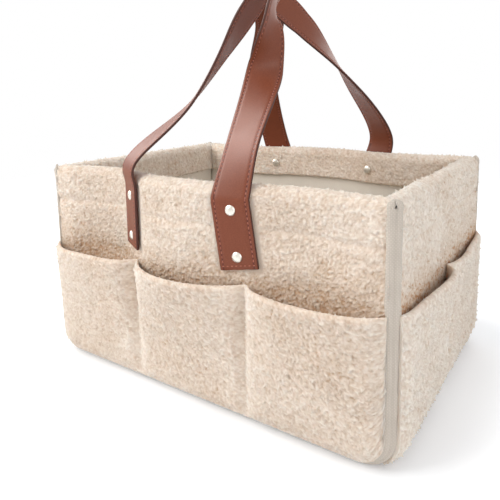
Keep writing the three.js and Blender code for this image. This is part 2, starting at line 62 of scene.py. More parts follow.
# %% [markdown]
# ## Sizes
# Nothing is measured twice: the outside sizes come from the plain model's own boxes. Only the layers of
# the wall and the slow wave of the long walls are written here again, because a box doesn't show them.

# %% Sizes from the plain model
MM = 0.001
half_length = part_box("front_piping")[1].x
half_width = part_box("back_piping")[1].y
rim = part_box("front_panel")[1].z
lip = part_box("front_left_pocket_panel")[1].z
edge_inset = half_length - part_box("front_panel")[1].x
foot_low, foot_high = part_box("front_left_foot_inner_ply")
foot_bottom = foot_low.z
foot_top = foot_high.z
strap_width = foot_high.x - foot_low.x
seam_x = half_length / 3

GAP = 0.3 * MM
FLEECE = 6 * MM
FACING = 4 * MM
FACING_DEPTH = 32 * MM
WALL = 16.4 * MM
LINING_DEPTH = 10.9 * MM
straight_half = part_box("base_panel")[1].x + GAP
corner_radius = half_length - straight_half
roll_radius = WALL / 2
slot_top = rim - roll_radius
facing_bottom = rim - FACING_DEPTH
print(f"caddy {2 * half_length:.3f} x {2 * half_width:.3f} x {rim:.3f}, pockets to {lip:.3f}")

# %% [markdown]
# ## The wave of the long walls
# Soft walls are never flat. Between the pocket seams the long walls belly out, and beside them they fall
# in. A cosine and a sine that meet at the seams with one slope describe this better than points moved by
# hand, and every piece that lies on the wall can ask the same formula where it is.

# %% Wave of the long walls
WAVE = 9 * MM
WAVE_SKEW = 0.35
WAVE_START = 16 * MM
wave_low = corner_radius + WAVE_START


def ease(t):
    t = np.clip(t, 0, 1)
    return t * t * (3 - 2 * t)


def wave(x):
    share = WAVE * (1 - WAVE_SKEW * x / half_length)
    reach = straight_half - seam_x
    past = np.clip(np.abs(x) - seam_x, 0, reach)
    between = share * np.cos(np.pi * x / (2 * seam_x))
    beside = -share * reach * np.sin(np.pi * past / reach) / (2 * seam_x)
    return np.where(np.abs(x) <= seam_x, between, beside)


def wall_face(x, z):
    return half_width + wave(x) * ease((z - wave_low) / (foot_bottom - wave_low))


print(f"the wall bellies out by {float(wave(np.zeros(1))[0]) / MM:.1f} mm")

# %% [markdown]
# ## The pile
# Sherpa fleece is a mass of small soft tufts, some 2 mm across. Particle hair would be the obvious tool,
# but its strands don't survive an export. Here the tufts are real bumps in a fine mesh. Three sizes of
# noise, bent by a slower one so that no grid shows, make the tufts. A few points of the mesh are pulled
# out further as loose fibres, which give the soft outline, and every point strays a little.

# %% Noise that repeats in every run
def slow_noise(places, size, seed):
    low = np.floor(places.min(0) / size).astype(int) - 1
    spot = places / size - low
    cell = np.floor(spot).astype(int)
    values = np.random.default_rng(seed).random(cell.max(0) + 2)
    share = ease(spot - cell)
    near, far = [
        values[cell[:, 0], cell[:, 1] + step] * (1 - share[:, 0])
        + values[cell[:, 0] + 1, cell[:, 1] + step] * share[:, 0]
        for step in (0, 1)
    ]
    return near * (1 - share[:, 1]) + far * share[:, 1]


sample = np.random.default_rng(0).random((2000, 2)) * 0.1
print(f"slow noise: mean {slow_noise(sample, 5 * MM, 1).mean():.2f}")

# %% Height of the tufts
TUFT = 1.1 * MM
TUFT_SIZES = ((2.1, 0.25), (1, 0.5), (0.55, 0.25))
WARP_SIZE = 2.6 * TUFT
WARP_REACH = 0.8 * TUFT
PILE = 1.7 * MM
LOOSE = 0.06
LOOSE_LENGTH = 2 * MM


def tufts(cloth, seed):
    warp = np.column_stack([slow_noise(cloth, WARP_SIZE, seed + k) for k in (1, 2)]) - 0.5
    bent = cloth + WARP_REACH * warp
    layers = enumerate(TUFT_SIZES, seed + 3)
    return sum(share * slow_noise(bent, size * TUFT, k) for k, (size, share) in layers)


def loose_fibres(count, seed):
    picked = np.random.default_rng(seed).random(count)
    return LOOSE_LENGTH * np.maximum(0, picked - 1 + LOOSE) / LOOSE


print(f"tufts: mean height {tufts(sample, 1).mean():.2f} of the pile")

# %% [markdown]
# ## Cloth from a grid
# Every panel starts as a flat grid. Its columns run along the cloth and its rows run round the panel's
# section: up the outside, over the edge and down the inside. A rule then moves each point to its place,
# the first and last rows are merged, the two open ends are filled, and the pile lifts the outside. Rows
# are close together only where the cloth shows, which keeps the meshes light.

# %% Grid helpers
PITCH = 0.8 * MM
COARSE = 9 * MM


def steps(start, end, pitch):
    return list(np.linspace(start, end, max(1, round(abs(end - start) / pitch)) + 1)[:-1])


def add_piece(name, bm):
    mesh = bpy.data.meshes.new(name)
    bm.to_mesh(mesh)
    bm.free()
    mesh.polygons.foreach_set("use_smooth", [True] * len(mesh.polygons))
    piece = bpy.data.objects.new(name, mesh)
    bpy.context.scene.collection.objects.link(piece)
    return piece


def grid(columns, rows):
    bm = bmesh.new()
    bmesh.ops.create_grid(bm, x_segments=columns, y_segments=rows, size=0.5)
    share = np.array([v.co.xy for v in bm.verts]) + 0.5
    return bm, share[:, 0], np.rint(share[:, 1] * rows).astype(int)


def close(bm):
    bmesh.ops.remove_doubles(bm, verts=bm.verts, dist=1e-6)
    bmesh.ops.holes_fill(bm, edges=[e for e in bm.edges if e.is_boundary], sides=0)
    bmesh.ops.recalc_face_normals(bm, faces=bm.faces)
    bm.normal_update()


def set_cloth(bm, cloth):
    layer = bm.verts.layers.float_vector.new("cloth")
    for vert, (along, rise) in zip(bm.verts, cloth):
        vert[layer] = (along, rise, 0)


def lay(bm, points, cloth):
    for vert, point in zip(bm.verts, points):
        vert.co = point
    set_cloth(bm, cloth)


print("rows up a wall:", len(steps(0, rim, PITCH)))


# %% Values on a mesh
def set_values(mesh, word, values):
    layer = mesh.attributes.get(word) or mesh.attributes.new(word, "FLOAT", "POINT")
    layer.data.foreach_set("value", np.ascontiguousarray(values, dtype=np.float32))


def get_values(mesh, word):
    values = np.zeros(len(mesh.vertices), dtype=np.float32)
    mesh.attributes[word].data.foreach_get("value", values)
    return values.astype(float)


def get_vectors(mesh, word):
    values = np.zeros(3 * len(mesh.vertices), dtype=np.float32)
    mesh.vertices.foreach_get(word, values)
    return values.reshape(-1, 3).astype(float)


def set_points(mesh, points):
    mesh.vertices.foreach_set("co", np.ascontiguousarray(points, dtype=np.float32).ravel())
    mesh.update()


print("points of the plain front wall:", len(get_vectors(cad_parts["front_panel"].data, "co")))

# %% Fleece from a grid
SMOOTH_TONE = 0.5
FULL_TONE = 0.5
STRAY = 0.2 * MM
DRIFT = 0.2
DRIFT_SIZE = 30 * MM


def fleece_piece(name, columns, rows, place, shade, seed):
    bm = bmesh.new()
    bmesh.ops.create_grid(bm, x_segments=columns, y_segments=rows, size=0.5)
    piece = add_piece(name, bm)
    mesh = piece.data
    share = get_vectors(mesh, "co")[:, :2] + 0.5
    points, cloth, pile = place(share[:, 0], np.rint(share[:, 1] * rows).astype(int))
    set_points(mesh, points)
    for word, values in zip(("along", "rise", "pile"), (*cloth.T, pile)):
        set_values(mesh, word, values)
    bm = bmesh.new()
    bm.from_mesh(mesh)
    close(bm)
    bm.to_mesh(mesh)
    bm.free()
    mesh.polygons.foreach_set("use_smooth", [True] * len(mesh.polygons))
    mesh.update()
    cloth = np.column_stack((get_values(mesh, "along"), get_values(mesh, "rise")))
    pile = get_values(mesh, "pile")
    height = tufts(cloth, seed)
    lift = pile * (PILE * (height - 0.5) + loose_fibres(len(pile), seed))
    points = get_vectors(mesh, "co") + get_vectors(mesh, "normal") * lift[:, None]
    stray = np.random.default_rng(seed).uniform(-1, 1, points.shape)
    set_points(mesh, points + STRAY * pile[:, None] * stray)
    tone = SMOOTH_TONE + (height - SMOOTH_TONE) * ease(pile / FULL_TONE)
    tone += DRIFT * (slow_noise(cloth, DRIFT_SIZE, seed + 9) - 0.5)
    set_values(mesh, "pile", tone - shade(get_vectors(mesh, "co")))
    for word in ("along", "rise"):
        mesh.attributes.remove(mesh.attributes[word])
    return piece


print(f"points stray by up to {STRAY / MM:.1f} mm")

# %% [markdown]
# ## The long walls
# One strip of fleece makes the outside of a long wall, rolls over the rim and comes down inside as a
# facing. Its section is a hook, so it is drawn once as a row of depths and heights and then swept along
# the wall. The pile is pressed flat under the strap feet, and a sewn line runs round below the rim.
# Painted shade darkens the tone to brown towards the mouths of the pockets, where one looks deep into the
# pile.

# %% Section of a wall
SHOW_FROM = lip - 26 * MM
OVER_TAPE = 1 * MM
OVER_FADE = 6 * MM
HEM_STEPS = 6
hem_radius = FACING / 2
roll_fade = 0.8 * roll_radius


def rim_section():
    roll = [
        (roll_radius * (1 - math.cos(a)), slot_top + roll_radius * math.sin(a))
        for a in steps(0, math.pi, PITCH / roll_radius)
    ]
    facing = [(WALL, z) for z in steps(slot_top, facing_bottom + hem_radius, PITCH)]
    hem = [
        (WALL - hem_radius * (1 - math.cos(a)), facing_bottom + hem_radius * (1 - math.sin(a)))
        for a in steps(0, math.pi, math.pi / HEM_STEPS)
    ]
    inside = [(WALL - FACING, facing_bottom + hem_radius), (WALL - FACING, slot_top), (FLEECE, slot_top)]
    return roll + facing + hem, inside


def section_length(section):
    return np.concatenate(([0], np.cumsum(np.linalg.norm(np.diff(section, axis=0), axis=1))))


def mitre(depth, z):
    over = OVER_TAPE * ease((z - lip) / OVER_FADE + 1)
    tuck = (edge_inset - over) * (1 - ease((z - slot_top) / roll_fade))
    return np.maximum(np.maximum(tuck, 0.5 * GAP), depth + 0.5 * GAP)


def foot_height(x, inset):
    past = np.clip(np.abs(x) - straight_half, 0, corner_radius - inset)
    return corner_radius - np.sqrt((corner_radius - inset) ** 2 - past**2)


print("points round the rim:", len(rim_section()[0]))


# %% Strap feet on the walls
def middle_of(node):
    low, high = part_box(node)
    return (low + high) / 2


def foot_line(side_name, foot):
    upper, lower = [middle_of(f"{side_name}_{foot}_{level}_rivet") for level in ("upper", "lower")]
    slant = (upper.x - lower.x) / (upper.z - lower.z)
    return lower.x - slant * lower.z, slant


feet = {name: [foot_line(name, foot) for foot in ("left", "right")] for name in ("front", "back")}
PULL = math.radians(13)
PULL_REACH = 30 * MM
PULL_BELOW = 20 * MM
PULL_FADE = 24 * MM
FOOT_CLEAR = 0.5 * MM


def extra_turn(side_name, foot):
    return PULL if (side_name, foot) == ("front", 0) else 0


def foot_pull(side_name, x, z):
    pull = np.zeros_like(x)
    for foot, (start, slant) in enumerate(feet[side_name]):
        past = x - start - slant * z
        pull += math.tan(extra_turn(side_name, foot)) * past * np.exp(-((past / PULL_REACH) ** 2))
    return pull * ease((z - lip + PULL_BELOW) / PULL_FADE)


def under_foot(side_name, x, z, margin):
    beside = np.min([np.abs(x - start - slant * z) for start, slant in feet[side_name]], axis=0)
    below = foot_bottom - z
    return 1 - ease((np.maximum(beside - strap_width / 2, below) - FOOT_CLEAR) / margin)


print(f"front left foot leans {math.degrees(math.atan(feet['front'][0][1])):.1f} degrees")

# %% Sewn line, shade and soft folds
SEWN_LINE = 31 * MM
SEWN_DEPTH = 1.3 * MM
SEWN_WIDTH = 2.6 * MM
BILLOW = 3.0 * MM
BILLOW_SIZE = 46 * MM
BILLOW_SQUEEZE = 1.6
BILLOW_START = 4 * MM
BILLOW_FADE = 22 * MM
LONG_SHADE = 0.3
END_SHADE = 0.4
SHADE_REACH = 14 * MM


def sewn_line(z):
    return np.exp(-(((z - (rim - SEWN_LINE)) / SEWN_WIDTH) ** 2))


# Painted shade: the tone darkens towards brown below the pocket lips and fades out above them.
def lip_shade(depth):
    def shade(points):
        return depth * np.exp(-np.maximum(0, points[:, 2] - lip) / SHADE_REACH)

    return shade


def billow(along, z, seed):
    rolls = slow_noise(np.column_stack((along, BILLOW_SQUEEZE * z)), BILLOW_SIZE, seed) - 0.5
    return BILLOW * rolls * ease((z - lip - BILLOW_START) / BILLOW_FADE)


print(f"sewn line at {rim - SEWN_LINE:.3f}")

# %% Long walls
PRESS_MARGIN = 5 * MM
CALM_MARGIN = 26 * MM
PRESS_SINK = 0.5 * MM
PRESSED_PILE = 0.9
SEWN_PILE = 0.5


def long_wall(side_name, side, seed):
    shown, inside = rim_section()
    low = [(0, z) for z in steps(edge_inset, SHOW_FROM, COARSE) + steps(SHOW_FROM, slot_top, PITCH)]
    section = np.array(low + shown + inside + [(FLEECE, edge_inset), (0, edge_inset)])
    length = section_length(section)
    reach = half_length - edge_inset
    hidden = np.arange(len(section)) >= len(low) + len(shown)

    def place(share, row):
        depth, level = section[row].T
        along = (2 * share - 1) * reach
        past = np.maximum(0, np.abs(along) - straight_half) / (reach - straight_half)
        shift = (half_length - mitre(depth, level) - reach) * past
        x = along + np.sign(along) * shift
        stand = (level - edge_inset) / (slot_top - edge_inset)
        foot = foot_height(along, edge_inset)
        lifted = foot + stand * (slot_top - foot)
        z = np.where((depth <= FLEECE) & (level < slot_top), lifted, level)
        outer = depth == 0
        pressed = under_foot(side_name, x, z, PRESS_MARGIN)
        soft = billow(along, z, seed) * (1 - under_foot(side_name, x, z, CALM_MARGIN))
        soft += foot_pull(side_name, x, z) * (1 - depth / WALL)
        q = wall_face(x, z) - depth + np.where(hidden[row], 0, soft)
        q -= np.where(outer, SEWN_DEPTH * sewn_line(z) * (1 - pressed) + PRESS_SINK * pressed, 0)
        pile = 1 - PRESSED_PILE * pressed * (depth <= roll_radius)
        pile = pile * (1 - SEWN_PILE * sewn_line(z) * outer)
        pile = np.where(hidden[row] | (level < SHOW_FROM - COARSE), 0, pile)
        points = np.column_stack((x, side * q, z))
        return points, np.column_stack((along, length[row])), pile

    name = side_name + "_wall_fleece"
    columns = round(2 * reach / PITCH)
    return fleece_piece(name, columns, len(section) - 1, place, lip_shade(LONG_SHADE), seed)


front_wall = long_wall("front", -1, 11)
back_wall = long_wall("back", 1, 23)
print("long wall:", len(front_wall.data.polygons), "faces")

# %% [markdown]
# ## The end walls
# The end walls are cut the same way, but they are flat and turn under the caddy with a round bend at the
# bottom. The pile of the ends is brushed down, so their tufts are drawn out along the height.

# %% End walls
NAP = 1.3
UNDER_PITCH = 2.5 * MM
UNDER_PILE = 0.5
UNDER_START = 1.5 * MM
UNDER_FADE = 5 * MM
CORNER_FROM = 0.8
CORNER_SHARE = 0.2


def bend(depth, first, last, pitch):
    radius = corner_radius - depth
    return [
        (corner_radius - radius * math.sin(a), corner_radius - radius * math.cos(a))
        for a in steps(first, last, pitch / corner_radius)
    ]


def end_wall(name, side, seed):
    shown, inside = rim_section()
    under = bend(0, 0, math.pi / 2, UNDER_PITCH)
    low = [(0, z) for z in steps(corner_radius, SHOW_FROM, COARSE) + steps(SHOW_FROM, slot_top, PITCH)]
    back = bend(FLEECE, math.pi / 2, 0, COARSE)
    section = np.array(under + low + shown + inside + back + [(corner_radius, FLEECE), (corner_radius, 0)])
    length = section_length(section)
    hidden = np.arange(len(section)) >= len(under) + len(low) + len(shown)
    reach = half_width - edge_inset

    def place(share, row):
        inwards, z = section[row].T
        depth = np.where(z > corner_radius, inwards, np.where(hidden[row], FLEECE, 0))
        along = (2 * share - 1) * reach
        past = ease((np.abs(along) / reach - CORNER_FROM) / CORNER_SHARE)
        shift = half_width - mitre(depth, z) - reach
        y = along + np.sign(along) * shift * past
        outer = (inwards == 0) & ~hidden[row]
        middle = 1 - (along / reach) ** 2
        soft = billow(along, z, seed) * middle
        x = half_length - inwards + np.where(hidden[row], 0, soft)
        x -= np.where(outer, SEWN_DEPTH * sewn_line(z), 0)
        pile = np.where(hidden[row], 0, 1 - SEWN_PILE * sewn_line(z) * outer)
        pile = pile * np.where(z < corner_radius, UNDER_PILE * ease((z - UNDER_START) / UNDER_FADE), 1)
        points = np.column_stack((side * x, y, z))
        return points, np.column_stack((along, length[row] / NAP)), pile

    columns = round(2 * reach / PITCH)
    return fleece_piece(name, columns, len(section) - 1, place, lip_shade(END_SHADE), seed)


left_wall = end_wall("left_wall_fleece", -1, 37)
right_wall = end_wall("right_wall_fleece", 1, 41)
print("end wall:", len(left_wall.data.polygons), "faces")

# %% [markdown]
# ## The pockets
# Each wall carries one broad strip of fleece, sewn down at its edges and along upright seams. Between
# the seams the strip is longer than the wall, so its lip stands off and the pockets gape. On the long
# walls they gape in an even bulge, and on the ends both gape most near the seam between them. The strip
# is thin at the seams and full in between. Its lip is folded, so the pile is a little shorter there.

# %% Pocket shape
POCKET_FLEECE = 5 * MM
SEAM_FLEECE = 2 * MM
SEAM_WIDTH = 9 * MM
OUTER_GAPE = 13 * MM
MIDDLE_GAPE = 10 * MM
END_GAPES = [8.5 * MM, 6 * MM]
GAPE_SQUARENESS = 2.6
GAPE_RISE = 1.3
END_GAPE_RISE = 3
POCKET_EASE = 1.25
SLANT = 1.4
SLANT_POWER = 8
EARLY_DROP = 0.8


def even_bulge(share):
    return 1 - np.abs(2 * share - 1) ** GAPE_SQUARENESS


def slanted_bulge(share):
    return SLANT * share * (1 - share**SLANT_POWER)


def early_bulge(share):
    return even_bulge(share) * (1 - EARLY_DROP * share)


def pocket_place(along, edges, gapes, profiles):
    index = np.clip(np.searchsorted(edges, along, side="right") - 1, 0, len(gapes) - 1)
    start, end = np.array(edges)[index], np.array(edges)[index + 1]
    share = np.clip((along - start) / (end - start), 0, 1)
    to_seam = np.minimum(share, 1 - share) * (end - start)
    return to_seam, np.array(gapes)[index] * np.choose(index, [profile(share) for profile in profiles])


def pocket_thickness(to_seam, rise):
    edge = np.minimum(to_seam, rise * lip)
    return SEAM_FLEECE + (POCKET_FLEECE - SEAM_FLEECE) * ease(edge / SEAM_WIDTH)


print(f"widest gape: {max(OUTER_GAPE, MIDDLE_GAPE, *END_GAPES) / MM:.1f} mm")

# %% Section of a pocket strip
LIP_STEPS = 7
LIP_DEPTH = 24 * MM


def pocket_section(height):
    shown = 1 - LIP_DEPTH / height
    inner = [(rise, 0) for rise in steps(0, shown, COARSE / height)]
    inner += [(rise, 0) for rise in steps(shown, 1, 2 * PITCH / height)]
    turn = [(1, a) for a in steps(0, math.pi, math.pi / LIP_STEPS)]
    outer = [(rise, math.pi) for rise in steps(1, 0, PITCH / height)]
    return np.array(inner + turn + outer + [(0, math.pi), (0, 0)])


print("points round a pocket strip:", len(pocket_section(lip)))

# %% Puffs, shade and pile of a pocket strip
PUFF = 2.2 * MM
PUFF_SIZE = 34 * MM
PUFF_MARGIN = 14 * MM
PUFF_CLIMB = 4
SEAM_PALE = 0.15
PALE_WIDTH = 34 * MM
SEAM_PILE = 0.45
LIP_PILE = 0.55
PILE_FADE = 5 * MM
HEM_START = 2 * MM
HEM_FADE = 6 * MM
LIP_TURN = 1
BEHIND_PILE = 0.4


def grow(low, share):
    return low + (1 - low) * ease(share)


def nearest(along, seams):
    return np.min(np.abs(along[:, None] - np.array(seams)), axis=1)


def puffs(height, along, level, to_seam, rise, seed):
    swell = height * slow_noise(np.column_stack((along, level)), PUFF_SIZE, seed)
    return swell * ease(to_seam / PUFF_MARGIN) * ease(rise * PUFF_CLIMB)


def pocket_shade(along, edges):
    return SEAM_PALE * (ease(nearest(along, edges) / PALE_WIDTH) - 0.5)


def pocket_pile(along, seams, rise, turn, height):
    pile = grow(SEAM_PILE, nearest(along, seams) / PILE_FADE)
    pile *= grow(LIP_PILE, (1 - rise) * height / PILE_FADE)
    pile *= ease((rise * height + HEM_START) / HEM_FADE)
    return np.where(turn > LIP_TURN, pile, BEHIND_PILE * pile)


print(f"pockets puff out by up to {PUFF / MM:.1f} mm")


# %% Pockets of the long walls
def long_pockets(name, side, seed):
    height = lip - edge_inset
    section = pocket_section(height)
    length = section_length(section * (height, POCKET_FLEECE / 2))
    reach = half_length - edge_inset + OVER_TAPE
    edges = [-reach, -seam_x, seam_x, reach]

    def place(share, row):
        rise, turn = section[row].T
        x = (2 * share - 1) * reach
        to_seam, stand = pocket_place(x, edges, [OUTER_GAPE, MIDDLE_GAPE, OUTER_GAPE], [even_bulge] * 3)
        thick = pocket_thickness(to_seam, rise)
        top = lip - thick / 2
        foot = foot_height(x, edge_inset - OVER_TAPE)
        z = foot + (top - foot) * rise + thick / 2 * np.sin(turn)
        wall = half_width + POCKET_EASE * np.maximum(0, wall_face(x, z) - half_width)
        puff = puffs(PUFF, x, z, to_seam, rise, seed)
        q = wall + GAP + stand * rise**GAPE_RISE + puff + thick / 2 * (1 - np.cos(turn))
        points = np.column_stack((x, side * q, z))
        pile = pocket_pile(x, edges[1:-1], rise, turn, height)
        return points, np.column_stack((x, length[row])), pile

    def shade(points):
        return pocket_shade(points[:, 0], edges)

    return fleece_piece(name, round(2 * reach / PITCH), len(section) - 1, place, shade, seed)


front_pockets = long_pockets("front_pocket_fleece", -1, 53)
back_pockets = long_pockets("back_pocket_fleece", 1, 67)
print("long pockets:", len(front_pockets.data.polygons), "faces")

# %% Pockets of the end walls
TUCK = math.radians(40)


def end_pockets(name, side, seed):
    tucked = (math.pi / 2 - TUCK) * corner_radius
    height = lip - corner_radius + tucked
    section = pocket_section(height)
    length = section_length(section * (height, POCKET_FLEECE / 2))
    reach = half_width - edge_inset + OVER_TAPE
    edges = [-reach, 0, reach]

    def place(share, row):
        rise, turn = section[row].T
        y = (2 * share - 1) * reach
        to_seam, stand = pocket_place(y, edges, END_GAPES, [slanted_bulge, early_bulge])
        thick = pocket_thickness(to_seam, rise)
        climb = rise * height - tucked
        puff = puffs(PUFF / 2, y, climb, to_seam, rise, seed)
        off = GAP + stand * rise**END_GAPE_RISE + puff + thick / 2 * (1 - np.cos(turn))
        upright = np.maximum(climb, 0) * (lip - thick / 2 - corner_radius) / (lip - corner_radius)
        angle = np.pi / 2 + np.minimum(climb, 0) / corner_radius
        x = straight_half + (corner_radius + off) * np.sin(angle)
        z = corner_radius - (corner_radius + off) * np.cos(angle) + upright + thick / 2 * np.sin(turn)
        points = np.column_stack((side * x, y, z))
        cloth = np.column_stack((y, length[row] / NAP))
        return points, cloth, pocket_pile(y, edges[1:-1], rise, turn, height)

    def shade(points):
        return pocket_shade(points[:, 1], edges)

    return fleece_piece(name, round(2 * reach / PITCH), len(section) - 1, place, shade, seed)


left_pockets = end_pockets("left_pocket_fleece", -1, 79)
right_pockets = end_pockets("right_pocket_fleece", 1, 83)
print("end pockets:", len(left_pockets.data.polygons), "faces")

# %% [markdown]
# ## Tape in the corner seams
# The upright corners and the bottom edges are bound with a pale woven tape: two soft bands with a groove
# between them. A tube along the seam would look like a cord, so the section here has two low swellings.
# It follows the edge of a long wall down one corner, along the floor and up the other corner.

# %% Tape section and path
TAPE_HALF = 5.2 * MM
TAPE_SWELL = 1.5 * MM
TAPE_GROOVE = 0.7 * MM
TAPE_TOP = slot_top + 9 * MM
TAPE_ROUNDING = 4 * MM
TAPE_SECTION = 18
TAPE_PITCH = 2 * MM
TAPE_BACK = 1.8 * MM
GROOVE_SHARE = 0.14
BACK_SHARE = 0.7


def tape_path(pitch):
    radius = corner_radius - edge_inset / 2
    turns = steps(math.pi / 2, 0, pitch / radius)
    corner = -half_length + edge_inset / 2
    left = [(corner, z, -math.pi / 2) for z in steps(TAPE_TOP, corner_radius, pitch)]
    left += [
        (-straight_half - radius * math.sin(a), corner_radius - radius * math.cos(a), -a) for a in turns
    ]
    bottom = [(x, edge_inset / 2, 0) for x in steps(-straight_half, 0, pitch)]
    right = [(-x, z, -a) for x, z, a in reversed(left + bottom)]
    return np.array(left + bottom + [(0, edge_inset / 2, 0)] + right)


def tape_section():
    across = np.linspace(-1, 1, TAPE_SECTION)
    crown = TAPE_SWELL * (1 - across**4) - TAPE_GROOVE * np.exp(-((across / GROOVE_SHARE) ** 2))
    top = [(TAPE_HALF * a, c) for a, c in zip(across, crown)]
    back = [(share * TAPE_HALF, -TAPE_BACK) for share in (BACK_SHARE, -BACK_SHARE)]
    return np.array(top + back + top[:1])


print("points along a tape:", len(tape_path(TAPE_PITCH)))

# %% Tapes
END_WIDTH = 0.04
END_LIFT = 0.3
WOBBLE = 0.25
WOBBLE_SIZE = 7 * MM
WOBBLE_LOW = 0.9
WOBBLE_SEED = 97
FLOOR_CLEAR = 0.2 * MM


def tape(name, side):
    path = tape_path(TAPE_PITCH)
    section = tape_section()
    length = section_length(path[:, :2])
    bm, share, row = grid(len(path) - 1, len(section) - 1)
    station = np.rint(share * (len(path) - 1)).astype(int)
    x, z, angle = path[station].T
    across, lift = section[row].T
    to_end = np.clip(np.minimum(length[station], length[-1] - length[station]) / TAPE_ROUNDING, 0, 1)
    across = across * np.sqrt(END_WIDTH + (1 - END_WIDTH) * (1 - (1 - to_end) ** 2))
    wobble = slow_noise(np.column_stack((length[station], across)), WOBBLE_SIZE, WOBBLE_SEED)
    across = across * (WOBBLE_LOW + WOBBLE * wobble)
    lift = lift * (END_LIFT + (1 - END_LIFT) * to_end)
    out_x, out_z = np.sin(angle), -np.cos(angle)
    lean = math.sqrt(0.5)
    shift = lean * (lift - across)
    q = half_width - edge_inset / 2 + lean * (lift + across)
    level = np.maximum(z + shift * out_z, FLOOR_CLEAR)
    points = np.column_stack((x + shift * out_x, side * q, level))
    lay(bm, points, np.column_stack((length[station], across)))
    close(bm)
    return add_piece(name, bm)


front_tape = tape("front_corner_tape", -1)
back_tape = tape("back_corner_tape", 1)
print("tape:", len(front_tape.data.polygons), "faces")

# %% [markdown]
# ## Cotton lining
# The inside is lined with plain woven cotton: one sheet for each wall and one for the floor. Thin sheets
# are quickest as grids that are bent to their place and then given a thickness. A few slow wrinkles,
# which fade out under the fleece facing, keep the cloth from looking like card.

# %% Lining sheets
LINING = 1.0 * MM
LINING_PITCH = 3 * MM
LINING_TUCK = 14 * MM
lining_top = facing_bottom + LINING_TUCK
WRINKLE = 1.6 * MM
WRINKLE_SIZE = 30 * MM
WRINKLE_DRAW = 0.45
FACING_CLEAR = 4 * MM
FACING_FADE = 30 * MM
BEND_CLEAR = 16 * MM
BEND_FADE = 20 * MM


def lining_sheet(name, columns, rows, place):
    bm, share, row = grid(columns, rows)
    lay(bm, *place(share, row / rows))
    middle = Vector((0, 0, rim / 2))
    bm.normal_update()
    for face in bm.faces:
        if face.normal.dot(middle - face.calc_center_median()) < 0:
            face.normal_flip()
    bm.normal_update()
    bmesh.ops.solidify(bm, geom=bm.faces[:], thickness=LINING)
    return add_piece(name, bm)


def wrinkles(along, rise, z, seed):
    folds = slow_noise(np.column_stack((along, WRINKLE_DRAW * rise)), WRINKLE_SIZE, seed)
    below_facing = ease((facing_bottom - FACING_CLEAR - z) / FACING_FADE)
    return WRINKLE * folds * below_facing * ease((z - BEND_CLEAR) / BEND_FADE)


print(f"linings reach {lining_top:.3f}")


# %% Linings of the walls
def long_lining(name, side, seed):
    inset = LINING_DEPTH + 0.5 * GAP
    reach = half_length - inset

    def place(share, rise):
        x = (2 * share - 1) * reach
        foot = foot_height(x, inset)
        z = foot + (lining_top - foot) * rise
        q = wall_face(x, z) - LINING_DEPTH - wrinkles(x, z, z, seed)
        return np.column_stack((x, side * q, z)), np.column_stack((x, z))

    return lining_sheet(name, round(2 * reach / LINING_PITCH), round(lining_top / LINING_PITCH), place)


def end_lining(name, side, seed):
    radius = corner_radius - LINING_DEPTH
    curve = radius * math.pi / 2
    total = curve + lining_top - corner_radius
    reach = half_width - LINING_DEPTH - 0.5 * GAP

    def place(share, rise):
        y = (2 * share - 1) * reach
        climb = rise * total
        angle = np.minimum(climb / radius, math.pi / 2)
        z = corner_radius - radius * np.cos(angle) + np.maximum(0, climb - curve)
        x = straight_half + radius * np.sin(angle) - wrinkles(y, climb, z, seed)
        return np.column_stack((side * x, y, z)), np.column_stack((y, climb))

    return lining_sheet(name, round(2 * reach / LINING_PITCH), round(total / LINING_PITCH), place)


linings = {
    "front_lining": long_lining("front_lining_cotton", -1, 101),
    "back_lining": long_lining("back_lining_cotton", 1, 103),
    "left_lining": end_lining("left_lining_cotton", -1, 107),
    "right_lining": end_lining("right_lining_cotton", 1, 109),
}
print("wall linings:", len(linings))

# %% Lining of the floor
SWELL = 0.8 * MM
SWELL_SIZE = 45 * MM


def floor_lining(name, seed):
    reach = np.array((straight_half - GAP, half_width - LINING_DEPTH - 0.5 * GAP))

    def place(share, rise):
        spot = (np.column_stack((share, rise)) * 2 - 1) * reach
        lift = SWELL * slow_noise(spot, SWELL_SIZE, seed)
        return np.column_stack((spot, LINING_DEPTH + lift)), spot

    columns, rows = np.rint(2 * reach / LINING_PITCH).astype(int)
    return lining_sheet(name, int(columns), int(rows), place)


linings["base_lining"] = floor_lining("floor_lining_cotton", 113)
print("lining sheets:", len(linings))

# %% [markdown]
# ## The underside
# The base is a stout woven cloth over a board. It starts as a cube, so that its six faces are closed,
# and gets rounded edges and a grid of small faces, as a cloth needs that may be bent later.

# %% Base cloth
BASE_ROUNDING = 2 * MM
BASE_CUTS = 24
LONG_EDGE = 0.1


def base_cloth():
    low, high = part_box("base_panel")
    bm = bmesh.new()
    size = Matrix.Diagonal(high - low).to_4x4()
    bmesh.ops.create_cube(bm, size=1, matrix=Matrix.Translation((low + high) / 2) @ size)
    bmesh.ops.bevel(
        bm, geom=bm.edges[:], offset=BASE_ROUNDING, affect="EDGES", segments=3, profile=0.5, material=-1
    )
    long_edges = [e for e in bm.edges if e.calc_length() > LONG_EDGE]
    bmesh.ops.subdivide_edges(bm, edges=long_edges, cuts=BASE_CUTS, use_grid_fill=True)
    set_cloth(bm, [(vert.co.x, vert.co.y) for vert in bm.verts])
    return add_piece("base_cloth", bm)


base = base_cloth()
print("base cloth:", len(base.data.polygons), "faces")

# %% [markdown]
# ## The straps
# Each strap is one long piece of doubled leather: up from its left foot, over in a loop, and down to its
# right foot. On the way it turns half round, so that it lies flat on the wall at both feet. A curve with
# a bevel can't hold that turn, so the strap is a grid again. A smooth line through a few bends gives its
# middle, and at each step along the line three directions say where its width and thickness go. A bend
# is written in millimetres: place along the wall, lean in from the wall and rise over the rim. The turn
# is written in degrees at each tenth of the loop.

